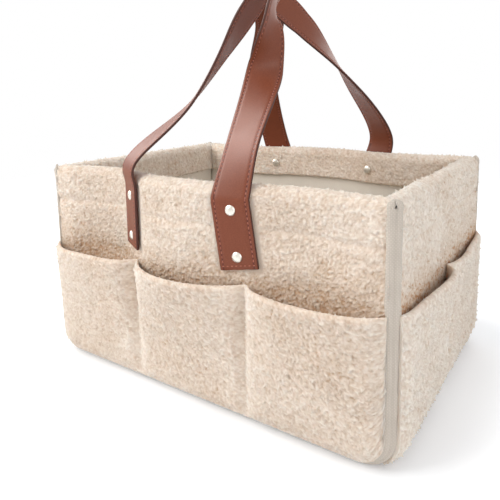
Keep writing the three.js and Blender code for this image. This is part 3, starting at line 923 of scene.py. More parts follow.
# %% Middle line of a strap
STRAP = 2.5 * MM
LEAVE = rim - 10 * MM
FOOT_STEPS = 40
BEND_STEPS = 40
LINE_PITCH = 1.5 * MM
FRONT_BENDS = [
    (-61, 2, 7),
    (-27, 44, 57),
    (4, 85, 131),
    (22, 104, 165),
    (41, 65, 126),
    (31, 70, 85),
    (45, 12, 23),
]
FRONT_TWIST = (29, 48, 65, 88, 79, 62, 116, 163, 184)
BACK_BENDS = [
    (-61, 7, 13),
    (-52, 46, 80),
    (-18, 84, 130),
    (-4, 106, 151),
    (19, 86, 128),
    (48, 45, 75),
    (68, 4, 16),
]
BACK_TWIST = (15, 31, 43, 59, 58, 72, 105, 137, 154)


def strap_face(x):
    return half_width + wave(x) + GAP + STRAP / 2


def strap_foot(side_name, foot, heights):
    start, slant = feet[side_name][foot]
    x = start + slant * heights
    return np.column_stack((x, strap_face(x), heights))


def smooth_line(points, count):
    ends = [2 * points[0] - points[1], *points, 2 * points[-1] - points[-2]]
    share = np.linspace(0, 1, count, endpoint=False)[:, None]
    made = []
    for p0, p1, p2, p3 in zip(ends, ends[1:], ends[2:], ends[3:]):
        d0, d1, d2 = [math.sqrt(np.linalg.norm(b - a)) for a, b in ((p0, p1), (p1, p2), (p2, p3))]
        leave = ((p1 - p0) / d0 - (p2 - p0) / (d0 + d1) + (p2 - p1) / d1) * d1
        arrive = ((p2 - p1) / d1 - (p3 - p1) / (d1 + d2) + (p3 - p2) / d2) * d1
        bow = -3 * p1 + 3 * p2 - 2 * leave - arrive
        made.append(p1 + leave * share + bow * share**2 + (2 * p1 - 2 * p2 + leave + arrive) * share**3)
    return np.concatenate((*made, points[-1:]))


print(f"straps leave the walls at {LEAVE:.3f}")


# %% Turn of a strap
def wall_turn(x):
    step = 0.5 * MM
    return np.arctan((wave(x + step) - wave(x - step)) / (2 * step))


def smooth_values(places, knots, values):
    slopes = np.diff(values) / np.diff(knots)
    leave = np.concatenate((slopes[:1], (slopes[1:] + slopes[:-1]) / 2, slopes[-1:]))
    index = np.clip(np.searchsorted(knots, places, side="right") - 1, 0, len(slopes) - 1)
    width = np.diff(knots)[index]
    t = (places - np.array(knots)[index]) / width
    first, last = np.array(values)[index], np.array(values)[index + 1]
    bow = (leave[index] * width - last + first) * t * (1 - t) ** 2
    bow += (last - first - leave[index + 1] * width) * t**2 * (1 - t)
    return first + (last - first) * t + bow


print(f"front wall turns {math.degrees(float(wall_turn(np.array(seam_x)))):.1f} degrees at its right seam")


# %% Directions along a strap
def strap_line(side_name, bends, twist):
    inner = float(strap_face(np.array(seam_x)))
    points = [(x * MM, inner - lean * MM, rim + rise * MM) for x, lean, rise in bends]
    heights = np.linspace(foot_bottom, LEAVE, FOOT_STEPS)
    left, right = [strap_foot(side_name, foot, heights) for foot in (0, 1)]
    loop = smooth_line(np.concatenate((left[-1:], points, right[-1:])), BEND_STEPS)
    centre = np.concatenate((left[:-1], loop, right[-2::-1]))
    length = section_length(centre)
    even = np.linspace(0, length[-1], round(length[-1] / LINE_PITCH))
    first, last = length[len(left) - 1], length[-len(right)]
    centre = np.column_stack([np.interp(even, length, centre[:, k]) for k in range(3)])
    along = np.gradient(centre, axis=0)
    along /= np.linalg.norm(along, axis=1)[:, None]
    turns = [wall_turn(line[:, 0]) + extra_turn(side_name, k) for k, line in enumerate((left, right))]
    knots = np.linspace(0, 1, len(twist) + 2)
    values = [turns[0][-1], *np.radians(twist), math.pi + turns[1][-1]]
    turn = smooth_values(np.clip((even - first) / (last - first), 0, 1), knots, values)
    turn = np.where(even < first, np.interp(centre[:, 2], heights, turns[0]), turn)
    turn = np.where(even > last, math.pi + np.interp(centre[:, 2], heights, turns[1]), turn)
    across = np.column_stack((-np.cos(turn), -np.sin(turn), np.zeros_like(turn)))
    across -= along * np.sum(across * along, axis=1)[:, None]
    across /= np.linalg.norm(across, axis=1)[:, None]
    out = np.cross(across, along)
    return {"length": even, "centre": centre, "along": along, "across": across, "out": out}


def on_strap(line, word, length):
    values = line[word]
    return np.column_stack([np.interp(length, line["length"], values[:, k]) for k in range(3)])


def strap_place(line, side, length, across, lift):
    spot = on_strap(line, "centre", length)
    spot += on_strap(line, "across", length) * np.reshape(across, (-1, 1))
    spot += on_strap(line, "out", length) * np.reshape(lift, (-1, 1))
    return spot * (1, side, 1)


strap_lines = {
    "front": strap_line("front", FRONT_BENDS, FRONT_TWIST),
    "back": strap_line("back", BACK_BENDS, BACK_TWIST),
}
print(f"front strap: {strap_lines['front']['length'][-1]:.3f} m from foot to foot")

# %% [markdown]
# The section has rounded, painted edges with a fine line where the two plies meet, and a shallow groove
# on both faces where the thread pulls the leather down.

# %% Straps
STITCH_INSET = 3 * MM
STITCH_SINK = 0.3 * MM
STITCH_GROOVE = 0.045
STRAP_PITCH = 2 * MM
END_STEPS = (0.3 * MM, 0.9 * MM)
END_THICKNESS = 0.7
strap_half = strap_width / 2
stitch_line = 1 - STITCH_INSET / strap_half


def strap_section():
    sunk = 1 - STITCH_SINK / (STRAP / 2)
    face = [(0, 1), (0.3, 1), (0.6, 1)]
    face += [(stitch_line - STITCH_GROOVE, 1), (stitch_line, sunk), (stitch_line + STITCH_GROOVE, 1)]
    edge = [(0.93, 0.97), (0.965, 0.84), (0.99, 0.55), (1, 0.2), (0.985, 0)]
    right = face + edge + [(a, -h) for a, h in reversed(face + edge[:-1])]
    ring = right + [(-a, -h) for a, h in right][1:]
    return np.array(ring) * (strap_half, STRAP / 2)


def strap(name, side, line):
    section = strap_section()
    total = line["length"][-1]
    stations = [0, *END_STEPS, *steps(STRAP_PITCH, total - STRAP_PITCH, STRAP_PITCH)]
    stations = np.array(stations + [total - step for step in reversed(END_STEPS)] + [total])
    bm, share, row = grid(len(stations) - 1, len(section) - 1)
    length = stations[np.rint(share * (len(stations) - 1)).astype(int)]
    across, lift = section[row].T
    to_end = np.minimum(length, total - length)
    lift = lift * grow(END_THICKNESS, to_end / END_STEPS[-1])
    lay(bm, strap_place(line, side, length, across, lift), np.column_stack((length, across)))
    close(bm)
    return add_piece(name, bm)


front_strap = strap("front_strap", -1, strap_lines["front"])
back_strap = strap("back_strap", 1, strap_lines["back"])
print("strap:", len(front_strap.data.polygons), "faces")

# %% [markdown]
# ## Stitches
# A row of stitches runs along both edges of a strap and across the end of each foot. Every stitch is a
# small stretched sphere with few faces, because there are several hundred of them.

# %% Stitches
STITCH_PITCH = 3.4 * MM
STITCH_SIZE = (1.15 * MM, 0.5 * MM, 0.4 * MM)
STITCH_SEAT = 0.6 * STITCH_SINK
STITCH_SIDES = 6
STITCH_RINGS = 4
LOOP_CLEAR = 4 * MM
foot_length = foot_top - foot_bottom


def add_stitch(bm, line, side, length, across, face, crosswise):
    at = np.array([length])
    words = ("along", "across", "out")
    along, over, out = [Vector(on_strap(line, word, at)[0] * (1, side, 1)) for word in words]
    if crosswise:
        along, over = over, along
    lift = face * (STRAP / 2 - STITCH_SEAT)
    spot = Vector(strap_place(line, side, at, [across], [lift])[0])
    axes = [v.normalized() * size for v, size in zip((along, over, out), STITCH_SIZE)]
    matrix = Matrix.Translation(spot) @ Matrix(axes).transposed().to_4x4()
    bmesh.ops.create_uvsphere(bm, u_segments=STITCH_SIDES, v_segments=STITCH_RINGS, radius=1, matrix=matrix)


def stitches(name, side, line):
    bm = bmesh.new()
    total = line["length"][-1]
    row = strap_half - STITCH_INSET
    for length in steps(STITCH_INSET, total - STITCH_INSET, STITCH_PITCH)[1:]:
        on_loop = foot_length + LOOP_CLEAR < length < total - foot_length - LOOP_CLEAR
        for across in (-row, row):
            for face in (1, -1) if on_loop else (1,):
                add_stitch(bm, line, side, length, across, face, False)
    for length in (STITCH_INSET, total - STITCH_INSET):
        for across in steps(-row, row, STITCH_PITCH) + [row]:
            add_stitch(bm, line, side, length, across, 1, True)
    bmesh.ops.recalc_face_normals(bm, faces=bm.faces)
    return add_piece(name, bm)


front_stitches = stitches("front_strap_stitches", -1, strap_lines["front"])
back_stitches = stitches("back_strap_stitches", 1, strap_lines["back"])
stitch_faces = STITCH_SIDES * STITCH_RINGS
print("stitches on the front strap:", len(front_stitches.data.polygons) // stitch_faces)

# %% [markdown]
# ## Rivets
# Two rivets hold each foot. Outside is a low polished dome, inside a flat cap. Both are profiles turned
# round an axis with spin, the bmesh form of a lathe.

# %% Turned rivets
RIVET_STEPS = 28
DOME = [(0, 1.6), (1.4, 1.52), (2.6, 1.2), (3.4, 0.75), (3.9, 0.3), (4, 0.05), (3.8, -0.2), (0, -0.2)]
BACK_CAP = [(0, 0.8), (3.1, 0.8), (3.75, 0.55), (4, 0), (3.75, -0.55), (3.1, -0.8), (0, -0.8)]


def turned(profile, place):
    bm = bmesh.new()
    verts = [bm.verts.new((radius * MM, 0, height * MM)) for radius, height in profile]
    edges = [bm.edges.new(pair) for pair in zip(verts, verts[1:])]
    bmesh.ops.spin(
        bm,
        geom=verts + edges,
        cent=(0, 0, 0),
        axis=(0, 0, 1),
        angle=math.tau,
        steps=RIVET_STEPS,
        use_merge=True,
    )
    bmesh.ops.remove_doubles(bm, verts=bm.verts, dist=1e-6)
    bmesh.ops.recalc_face_normals(bm, faces=bm.faces)
    bmesh.ops.transform(bm, matrix=place, verts=bm.verts)
    bmesh.ops.recalc_face_normals(bm, faces=bm.faces)
    return bm


print(f"domes are {2 * max(radius for radius, height in DOME):.0f} mm wide")


# %% Rivets on the feet
def wall_place(turn, x, q, z, side):
    across = Vector((math.cos(turn), side * math.sin(turn), 0))
    out = Vector((-math.sin(turn), side * math.cos(turn), 0))
    basis = Matrix((across, Vector((0, 0, 1)), out)).transposed().to_4x4()
    return Matrix.Translation((x, side * q, z)) @ basis


def foot_rivets(side_name, side, foot):
    made = []
    word = ("left", "right")[foot]
    for level in ("upper", "lower"):
        node = f"{side_name}_{word}_{level}_rivet"
        outer, inner = middle_of(node), middle_of(node + "_back")
        x = np.array(outer.x)
        turn = float(wall_turn(x)) + extra_turn(side_name, foot)
        q = float(strap_face(x)) + STRAP / 2 / math.cos(turn)
        dome = add_piece(node + "_dome", turned(DOME, wall_place(turn, outer.x, q, outer.z, side)))
        cap_place = wall_place(float(wall_turn(x)), inner.x, side * inner.y, inner.z, side)
        cap = add_piece(node + "_cap", turned(BACK_CAP, cap_place))
        made += [(dome, node), (cap, node + "_back")]
    return made


rivets = []
for side_name, side in (("front", -1), ("back", 1)):
    for foot in (0, 1):
        rivets += foot_rivets(side_name, side, foot)
print("rivet caps:", len(rivets))

# %% [markdown]
# ## Helpers for finishes
# Colours are written as they look on a screen, from 0 to 255, and turned into the linear values that
# shaders use. Three effects are shared by several finishes, so each is a node group: a slow change of
# shade, a woven thread pattern, and a pebbled grain.

# %% Paint
def paint(*channels):
    return [((c / 255 + 0.055) / 1.055) ** 2.4 for c in channels] + [1]


print("cream in linear values:", [round(c, 3) for c in paint(238, 228, 216)[:3]])


# %% Nodes
def plug(tree, value, socket):
    if isinstance(value, bpy.types.NodeSocket):
        tree.links.new(value, socket)
    else:
        socket.default_value = value


def add_node(tree, kind, inputs, **settings):
    node = tree.nodes.new("ShaderNode" + kind)
    for word, value in settings.items():
        setattr(node, word, value)
    for socket, value in inputs.items():
        plug(tree, value, node.inputs[socket])
    return node


def maths(tree, operation, *values):
    return add_node(tree, "Math", dict(enumerate(values)), operation=operation).outputs[0]


def remap(tree, value, low, high, first=0, last=1, **settings):
    inputs = {"Value": value, "From Min": low, "From Max": high, "To Min": first, "To Max": last}
    return add_node(tree, "MapRange", inputs, **settings).outputs[0]


def ramp(tree, value, stops):
    stops = list(stops)
    node = add_node(tree, "ValToRGB", {"Fac": value})
    while len(node.color_ramp.elements) < len(stops):
        node.color_ramp.elements.new(1)
    for element, (place, colour) in zip(node.color_ramp.elements, stops):
        element.position = place
        element.color = colour
    return node.outputs["Color"]


def blend_colours(tree, share, first, second):
    inputs = {"Factor": share, "A": first, "B": second}
    node = tree.nodes.new("ShaderNodeMix")
    node.data_type = "RGBA"
    for socket in node.inputs:
        if socket.enabled and socket.name in inputs:
            plug(tree, inputs[socket.name], socket)
    return [socket for socket in node.outputs if socket.enabled][0]


# %% Shared effects
def shader_group(name, inputs, outputs):
    tree = bpy.data.node_groups.new(name, "ShaderNodeTree")
    for words, way in ((inputs, "INPUT"), (outputs, "OUTPUT")):
        for word, kind in words.items():
            tree.interface.new_socket(word, in_out=way, socket_type="NodeSocket" + kind)
    return tree, tree.nodes.new("NodeGroupInput").outputs, tree.nodes.new("NodeGroupOutput").inputs


def mottle_group():
    sockets = {"Vector": "Vector", "Scale": "Float", "Color": "Color", "Depth": "Float"}
    tree, given, result = shader_group("Mottle", sockets, {"Color": "Color"})
    noise = add_node(tree, "TexNoise", {"Vector": given["Vector"], "Scale": given["Scale"], "Detail": 3})
    swing = maths(tree, "MULTIPLY", maths(tree, "SUBTRACT", noise.outputs["Fac"], 0.5), given["Depth"])
    value = maths(tree, "ADD", 1.0, swing)
    shaded = add_node(tree, "HueSaturation", {"Value": value, "Color": given["Color"]})
    tree.links.new(shaded.outputs["Color"], result["Color"])
    return tree


def weave_group():
    sockets = {"Vector": "Vector", "Threads": "Float"}
    tree, given, result = shader_group("Weave", sockets, {"Height": "Float"})
    spot = add_node(tree, "SeparateXYZ", {0: given["Vector"]}).outputs
    turns = [maths(tree, "MULTIPLY", spot[k], given["Threads"]) for k in (0, 1)]
    wave_x, wave_y = [maths(tree, "SINE", maths(tree, "MULTIPLY", turn, math.pi)) for turn in turns]
    over = maths(tree, "MULTIPLY", wave_x, wave_y)
    cross = maths(tree, "MULTIPLY", maths(tree, "ABSOLUTE", wave_x), maths(tree, "ABSOLUTE", wave_y))
    height = maths(tree, "MULTIPLY_ADD", over, 0.3, maths(tree, "MULTIPLY", cross, 0.7))
    tree.links.new(maths(tree, "ADD", height, 0.3), result["Height"])
    return tree


def grain_group():
    tree, given, result = shader_group("Grain", {"Vector": "Vector", "Scale": "Float"}, {"Height": "Float"})
    inputs = {"Vector": given["Vector"], "Scale": given["Scale"]}
    pebble = add_node(tree, "TexVoronoi", inputs, feature="SMOOTH_F1").outputs["Distance"]
    fine = add_node(tree, "TexNoise", {**inputs, "Detail": 4, "Roughness": 0.6}).outputs["Fac"]
    tree.links.new(maths(tree, "MULTIPLY_ADD", pebble, -0.7, fine), result["Height"])
    return tree


groups = {tree.name: tree for tree in (mottle_group(), weave_group(), grain_group())}
print("shared effects:", ", ".join(groups))

# %% [markdown]
# ## Finishes
# Each finish starts the same way: a Principled shader, a place to read the pattern from, and a bump. The
# threads of cloth, and the edges and the dark stitch rows of leather, follow the piece's own length and
# width, which its mesh carries as an attribute, so that they turn with the piece. The dark stitch rows are
# partly holes and partly painted shade in the stitch groove.


# %% Start of a finish
def finish_start(name, roughness, **constants):
    material = bpy.data.materials.new(name)
    material.use_nodes = True
    tree = material.node_tree
    shader = tree.nodes["Principled BSDF"]
    shader.inputs["Roughness"].default_value = roughness
    for word, value in constants.items():
        shader.inputs[word.replace("_", " ")].default_value = value
    return material, tree, shader


def effect(tree, name, inputs):
    return add_node(tree, "Group", inputs, node_tree=groups[name]).outputs[0]


def attribute(tree, name):
    return add_node(tree, "Attribute", {}, attribute_name=name).outputs


def object_place(tree):
    return tree.nodes.new("ShaderNodeTexCoord").outputs["Object"]


def bump(tree, shader, height, distance, strength=1.0):
    inputs = {"Height": height, "Distance": distance, "Strength": strength}
    tree.links.new(add_node(tree, "Bump", inputs).outputs["Normal"], shader.inputs["Normal"])


def base_colour(tree, shader, colour):
    tree.links.new(colour, shader.inputs["Base Color"])


# %% [markdown]
# Fleece takes its tone from the height of the tufts: warm brown in the gaps, cream on the flanks and pale
# cream on the tips. The brown of the gaps is partly the pile's own colour and partly painted shade, and the
# paler tips are partly painted light. The darkest colour, below the gaps, is painted shade for the mouths
# of the pockets. A fine noise of the tone and a fine bump stand for single fibres. Light passes some way
# through the pile, so the shader scatters it below the surface, and a little sheen stands for the glow of
# the tips. The ends are brushed down and look a shade greyer.

# %% Fleece
# Stops: painted shade at the pocket mouths, gaps partly painted shade, flanks, tops, tips partly painted
# light.
TONE_STOPS = (0, 0.25, 0.42, 0.58, 0.75)
FLEECE_MOTTLES = ((55, 0.08), (800, 0.1))
SCATTER = {"Subsurface_Weight": 0.6, "Subsurface_Scale": 3 * MM, "Subsurface_Radius": (1, 0.8, 0.65)}


def fleece(name, *tones):
    material, tree, shader = finish_start(name, 1.0, Sheen_Weight=0.15, Sheen_Roughness=0.6, **SCATTER)
    place = object_place(tree)
    colour = ramp(tree, attribute(tree, "pile")["Fac"], zip(TONE_STOPS, tones))
    for scale, depth in FLEECE_MOTTLES:
        colour = effect(tree, "Mottle", {"Vector": place, "Scale": scale, "Color": colour, "Depth": depth})
    base_colour(tree, shader, colour)
    fibre = add_node(tree, "TexNoise", {"Vector": place, "Scale": 1300, "Detail": 3, "Roughness": 0.7})
    bump(tree, shader, fibre.outputs["Fac"], 0.7 * MM, 0.5)
    return material


# The first colour is the painted shade at the pocket mouths.
side_fleece = fleece(
    "cream_fleece",
    paint(188, 153, 121),
    paint(208, 186, 165),
    paint(219, 200, 182),
    paint(226, 210, 194),
    paint(235, 222, 208),
)
# The first colour of the ends is an orange brown: warm painted shade in the end pockets' mouths.
end_fleece = fleece(
    "brushed_fleece",
    paint(184, 134, 92),
    paint(209, 188, 168),
    paint(217, 200, 184),
    paint(225, 211, 196),
    paint(235, 224, 211),
)
print("fleece finishes:", side_fleece.name, end_fleece.name)


# %% [markdown]
# The lining, the base and the tape are plain weaves that differ in thread, tone and stoutness.

# %% Woven cloth
def woven(name, colour, shade, threads, height, mottle):
    material, tree, shader = finish_start(name, 0.92, Sheen_Weight=0.08)
    cloth = attribute(tree, "cloth")["Vector"]
    thread = effect(tree, "Weave", {"Vector": cloth, "Threads": threads})
    # The darker colour fills the low parts of the weave, between the threads: painted shade.
    mixed = blend_colours(tree, thread, shade, colour)
    mixed = effect(tree, "Mottle", {"Vector": cloth, "Scale": 90, "Color": mixed, "Depth": mottle})
    base_colour(tree, shader, mixed)
    bump(tree, shader, thread, height, 0.6)
    return material


cotton = woven("lining_cotton", paint(240, 233, 222), paint(214, 203, 188), 1300, 0.35 * MM, 0.06)
canvas = woven("base_canvas", paint(214, 203, 188), paint(176, 163, 146), 750, 0.6 * MM, 0.08)
tape_cloth = woven("corner_tape", paint(207, 196, 184), paint(188, 177, 164), 900, 0.2 * MM, 0.16)
print("woven finishes:", cotton.name, canvas.name, tape_cloth.name)

# %% [markdown]
# The straps are reddish brown leather with a soft shine. The grain is pebbled, the shine breaks up where
# hands have rubbed it, and the cut edges are darker. A dark line along each row of stitches is partly the
# stitch holes and partly painted shade in the groove.

# %% Leather
EDGE_PAINT = 14.3 * MM
EDGE_FADE = 0.4 * MM
DARK_ROW_CORE = 0.3 * MM
DARK_ROW_FADE = 0.9 * MM
RUBBED_SHINE = (0.38, 0.48)


def strap_leather():
    material, tree, shader = finish_start("strap_leather", 0.43, Specular_IOR_Level=0.35)
    cloth = attribute(tree, "cloth")["Vector"]
    place = object_place(tree)
    spot = add_node(tree, "SeparateXYZ", {0: cloth}).outputs
    grain = effect(tree, "Grain", {"Vector": place, "Scale": 1500})
    aside = maths(tree, "ABSOLUTE", spot[1])
    edge = remap(tree, aside, EDGE_PAINT, EDGE_PAINT + EDGE_FADE)
    face = ramp(tree, grain, [(0, paint(114, 56, 33)), (0.5, paint(128, 66, 41))])
    face = effect(tree, "Mottle", {"Vector": place, "Scale": 30, "Color": face, "Depth": 0.1})
    # A dark line along each stitch row: partly the stitch holes, partly painted shade in the stitch groove.
    from_row = maths(tree, "ABSOLUTE", maths(tree, "SUBTRACT", aside, strap_half - STITCH_INSET))
    holes_and_groove_shade = remap(tree, from_row, DARK_ROW_FADE, DARK_ROW_CORE)
    face = blend_colours(tree, holes_and_groove_shade, face, paint(92, 40, 27))
    base_colour(tree, shader, blend_colours(tree, edge, face, paint(72, 36, 26)))
    rubbed = add_node(tree, "TexNoise", {"Vector": place, "Scale": 60, "Detail": 3}).outputs["Fac"]
    plug(tree, remap(tree, rubbed, 0.3, 0.7, *RUBBED_SHINE), shader.inputs["Roughness"])
    bump(tree, shader, grain, 0.12 * MM, 0.35)
    return material


leather = strap_leather()
print("leather:", leather.name)


# %% [markdown]
# Thread is twisted, so fine stripes cross it. Nickel is bright, with a fine grain that breaks its shine a
# little. Felt, board and webbing are inside the walls and hardly seen, but a hidden layer that shows in a
# cut view should still look like what it is.

# %% Thread and metal
NICKEL_SHINE = (0.3, 0.45)


def strap_thread():
    material, tree, shader = finish_start("strap_thread", 0.6)
    place = object_place(tree)
    twist = add_node(tree, "TexWave", {"Vector": place, "Scale": 420, "Distortion": 0.6})
    stripes = [(0, paint(138, 72, 52)), (1, paint(182, 110, 86))]
    base_colour(tree, shader, ramp(tree, twist.outputs["Fac"], stripes))
    bump(tree, shader, twist.outputs["Fac"], 0.15 * MM, 0.5)
    return material


def rivet_nickel():
    material, tree, shader = finish_start("rivet_nickel", 0.25, Metallic=1.0)
    place = object_place(tree)
    plate = {"Vector": place, "Scale": 220, "Color": paint(224, 219, 209), "Depth": 0.12}
    base_colour(tree, shader, effect(tree, "Mottle", plate))
    grain = effect(tree, "Grain", {"Vector": place, "Scale": 900})
    plug(tree, remap(tree, grain, 0, 0.6, *NICKEL_SHINE), shader.inputs["Roughness"])
    bump(tree, shader, grain, 0.03 * MM, 0.3)
    return material


thread = strap_thread()
nickel = rivet_nickel()
print("small finishes:", thread.name, nickel.name)


# %% Hidden layers
def pressed_layer(name, dark, pale, scale, height):
    material, tree, shader = finish_start(name, 0.95)
    place = object_place(tree)
    grain = effect(tree, "Grain", {"Vector": place, "Scale": scale})
    colour = ramp(tree, grain, [(0, dark), (0.6, pale)])
    colour = effect(tree, "Mottle", {"Vector": place, "Scale": 40, "Color": colour, "Depth": 0.12})
    base_colour(tree, shader, colour)
    bump(tree, shader, grain, height, 0.5)
    return material


felt = pressed_layer("wall_felt", paint(168, 163, 154), paint(200, 196, 187), 600, 0.5 * MM)
board = pressed_layer("base_board", paint(126, 122, 115), paint(158, 154, 146), 300, 0.2 * MM)
webbing = pressed_layer("patch_webbing", paint(136, 126, 112), paint(170, 160, 146), 900, 0.4 * MM)
for node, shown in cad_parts.items():
    if node.endswith("_stiffener"):
        hidden_finish = felt
    elif node.endswith("_backing_patch"):
        hidden_finish = webbing
    elif node == "base_board":
        hidden_finish = board
    else:
        continue
    shown.data.materials.clear()
    shown.data.materials.append(hidden_finish)
print("hidden finishes:", felt.name, board.name, webbing.name)

# %% [markdown]
# ## Putting the pieces on the model
# Every new piece gets its finish and hides the plain solids that it stands for. The still pieces hang on
# the caddy's body; the straps, which bend over the rim, and their stitches are not put on a body.


# %% Fit the pieces
def fit(piece, material, slot, *nodes):
    piece.data.materials.append(material)
    if nodes:
        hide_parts(*nodes)


def pockets_of(side_name, words):
    return [f"{side_name}_{word}_pocket_panel" for word in words]


LONG_WORDS = ("left", "middle", "right")
END_WORDS = ("front", "back")
fit(front_wall, side_fleece, "fleece", "front_panel")
fit(back_wall, side_fleece, "fleece", "back_panel")
fit(left_wall, end_fleece, "fleece", "left_end_panel")
fit(right_wall, end_fleece, "fleece", "right_end_panel")
fit(front_pockets, side_fleece, "fleece", *pockets_of("front", LONG_WORDS))
fit(back_pockets, side_fleece, "fleece", *pockets_of("back", LONG_WORDS))
fit(left_pockets, end_fleece, "fleece", *pockets_of("left", END_WORDS))
fit(right_pockets, end_fleece, "fleece", *pockets_of("right", END_WORDS))
fit(front_tape, tape_cloth, "piping", "front_piping")
fit(back_tape, tape_cloth, "piping", "back_piping")
fit(base, canvas, "canvas", "base_panel")
for node, sheet in linings.items():
    fit(sheet, cotton, "canvas", node)
for piece, node in rivets:
    fit(piece, nickel, "nickel", node)
fleeces = [front_wall, back_wall, left_wall, right_wall]
fleeces += [front_pockets, back_pockets, left_pockets, right_pockets]
still = [*fleeces, front_tape, back_tape, base, *linings.values(), *[piece for piece, node in rivets]]
for piece in still:
    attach(piece, "caddy")
print("pieces on the caddy:", len(still))

# %% Finish the straps
plies = [f"{foot}_foot_{ply}_ply" for foot in ("left", "right") for ply in ("inner", "outer")]
plies += ["handle_inner_ply", "handle_outer_ply"]
strap_pairs = (("front", front_strap, front_stitches), ("back", back_strap, back_stitches))
for side_name, piece, sewing in strap_pairs:
    fit(piece, leather, "leather", *[f"{side_name}_{ply}" for ply in plies])
    fit(sewing, thread, "leather")
    for soft in (piece, sewing):
        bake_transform(soft)

# %% [markdown]
# ## Floor, light and camera
# The caddy stands on a white floor that runs out to a white background. The floor is an ordinary pale
# surface, so it takes the shadow, and a part of its white is its own glow, which lights nothing: only the
# camera and reflections see it. The glow is weaker close to the caddy, which paints a deeper shadow round
# it. A broad lamp stands high on the left. A smaller one lower down in front, and a wide one on the left
# that only gloss shows, give the leather its shine. Weak ones on the right and behind fill the shadows.

# %% Floor finish
# Less glow near the caddy paints a deeper shadow round it.
NEAR_GLOW = 0.17
FAR_GLOW = 0.42
GLOW_FROM = 0.02
GLOW_TO = 0.08
FADE_FROM = 0.4
FADE_TO = 1.1
WHITE = (1, 1, 1, 1)


def seen_rays(tree):
    rays = tree.nodes.new("ShaderNodeLightPath").outputs
    seen = maths(tree, "MAXIMUM", rays["Is Camera Ray"], rays["Is Glossy Ray"])
    return maths(tree, "MAXIMUM", seen, rays["Is Transmission Ray"])


def vector_maths(tree, operation, *values):
    return add_node(tree, "VectorMath", dict(enumerate(values)), operation=operation).outputs


def floor_finish():
    material = bpy.data.materials.new("white_floor")
    material.use_nodes = True
    tree = material.node_tree
    tree.nodes.clear()
    place = vector_maths(tree, "ABSOLUTE", object_place(tree))[0]
    beyond = vector_maths(tree, "SUBTRACT", place, (half_length, half_width, 0))[0]
    beyond = vector_maths(tree, "MAXIMUM", beyond, (0, 0, 0))[0]
    distance = vector_maths(tree, "LENGTH", beyond)["Value"]
    soft = {"interpolation_type": "SMOOTHSTEP"}
    away = remap(tree, distance, FADE_FROM, FADE_TO, **soft)
    own = remap(tree, distance, GLOW_FROM, GLOW_TO, NEAR_GLOW, FAR_GLOW, **soft)
    surface = add_node(tree, "BsdfDiffuse", {"Color": paint(241, 243, 246)})
    strength = maths(tree, "MULTIPLY", seen_rays(tree), own)
    glow = add_node(tree, "Emission", {"Color": WHITE, "Strength": strength})
    lit = add_node(tree, "AddShader", {0: surface.outputs[0], 1: glow.outputs[0]})
    clear = add_node(tree, "BsdfTransparent", {})
    mixed = add_node(tree, "MixShader", {0: away, 1: lit.outputs[0], 2: clear.outputs[0]})
    output = tree.nodes.new("ShaderNodeOutputMaterial")
    tree.links.new(mixed.outputs[0], output.inputs["Surface"])
    return material


floor_white = floor_finish()
print("floor finish:", floor_white.name)

# %% Floor
FLOOR_RADIUS = 2.5
FLOOR_DROP = 0.3 * MM
FLOOR_SIDES = 64
bm = bmesh.new()
bmesh.ops.create_circle(bm, cap_ends=True, segments=FLOOR_SIDES, radius=FLOOR_RADIUS)
floor = add_piece("floor", bm)
floor.location.z = -FLOOR_DROP
floor.data.materials.append(floor_white)
print("floor:", floor.name)


# %% World and lamps
AMBIENT = 0.68
COOL = (0.965, 0.98, 1, 1)
WARM = (1, 0.98, 0.95)
SOFT_WARM = (1, 0.99, 0.97)


def world_light():
    world = bpy.data.worlds.new("white_room")
    world.use_nodes = True
    tree = world.node_tree
    tree.nodes.clear()
    ambient = add_node(tree, "Background", {"Color": COOL, "Strength": AMBIENT})
    white = add_node(tree, "Background", {"Color": WHITE, "Strength": 1})
    mixed = add_node(tree, "MixShader", {0: seen_rays(tree), 1: ambient.outputs[0], 2: white.outputs[0]})
    output = tree.nodes.new("ShaderNodeOutputWorld")
    tree.links.new(mixed.outputs[0], output.inputs["Surface"])
    return world


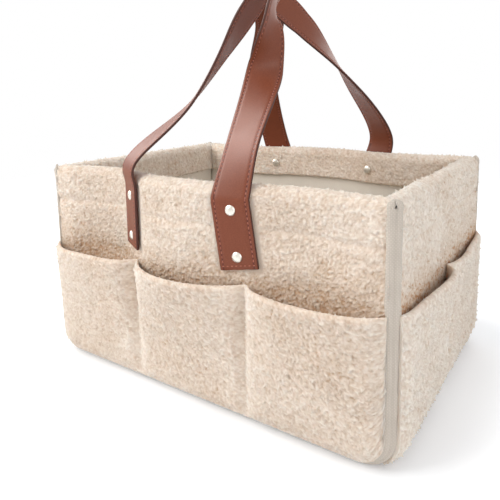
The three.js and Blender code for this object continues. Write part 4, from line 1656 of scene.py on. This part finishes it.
def lamp(name, place, target, size, power, colour, lights_all=True):
    light = bpy.data.lights.new(name, "AREA")
    light.color = colour
    light.size = size
    light.energy = power
    shown = bpy.data.objects.new(name, light)
    shown.location = place
    shown.visible_diffuse = lights_all
    shown.rotation_euler = (Vector(target) - Vector(place)).to_track_quat("-Z", "Y").to_euler()
    bpy.context.scene.collection.objects.link(shown)


bpy.context.scene.world = world_light()
lamp("key_lamp", (-0.65, -0.8, 1.25), (0, 0, 0.1), 0.9, 8, WARM)
lamp("shine_lamp", (-0.85, -1.1, 0.75), (0, 0, 0.2), 0.5, 6, WARM)
lamp("gloss_lamp", (-1.0, -0.25, 1.1), (0, -0.1, 0.2), 1.2, 30, WARM, lights_all=False)
lamp("fill_lamp", (1.4, -0.5, 0.7), (0, 0, 0.1), 1.0, 6, SOFT_WARM)
lamp("back_lamp", (-0.3, 1.4, 0.9), (0, 0, 0.1), 1.2, 6, SOFT_WARM)
print("lamps: key, shine, gloss, fill and back")

# %% [markdown]
# The camera was found from the corners of the caddy in the photograph: it stands close in front of the
# right half, turned to the left, a little above the rim and tipped down.

# %% Camera
LENS = 37.4
SENSOR = 36
SHIFT_UP = -0.17
CAMERA_PLACE = Vector((0.2613, -0.4117, 0.2460))
CAMERA_TURN = (34.384, 8.16, -1.056)
yaw, pitch, roll = [math.radians(angle) for angle in CAMERA_TURN]
right = Vector((math.cos(yaw), math.sin(yaw), 0))
ahead = Vector((-math.sin(yaw) * math.cos(pitch), math.cos(yaw) * math.cos(pitch), -math.sin(pitch)))
above = right.cross(ahead)
rolled_right = right * math.cos(roll) + above * math.sin(roll)
rolled_above = above * math.cos(roll) - right * math.sin(roll)
camera_data = bpy.data.cameras.new("camera")
camera_data.lens = LENS
camera_data.sensor_width = SENSOR
camera_data.shift_y = SHIFT_UP
camera = bpy.data.objects.new("camera", camera_data)
turn = Matrix((rolled_right, rolled_above, -ahead)).transposed().to_4x4()
camera.matrix_world = Matrix.Translation(CAMERA_PLACE) @ turn
bpy.context.scene.collection.objects.link(camera)
bpy.context.scene.camera = camera
bpy.context.scene.view_settings.view_transform = "Standard"
print("camera at", [round(v, 3) for v in CAMERA_PLACE])
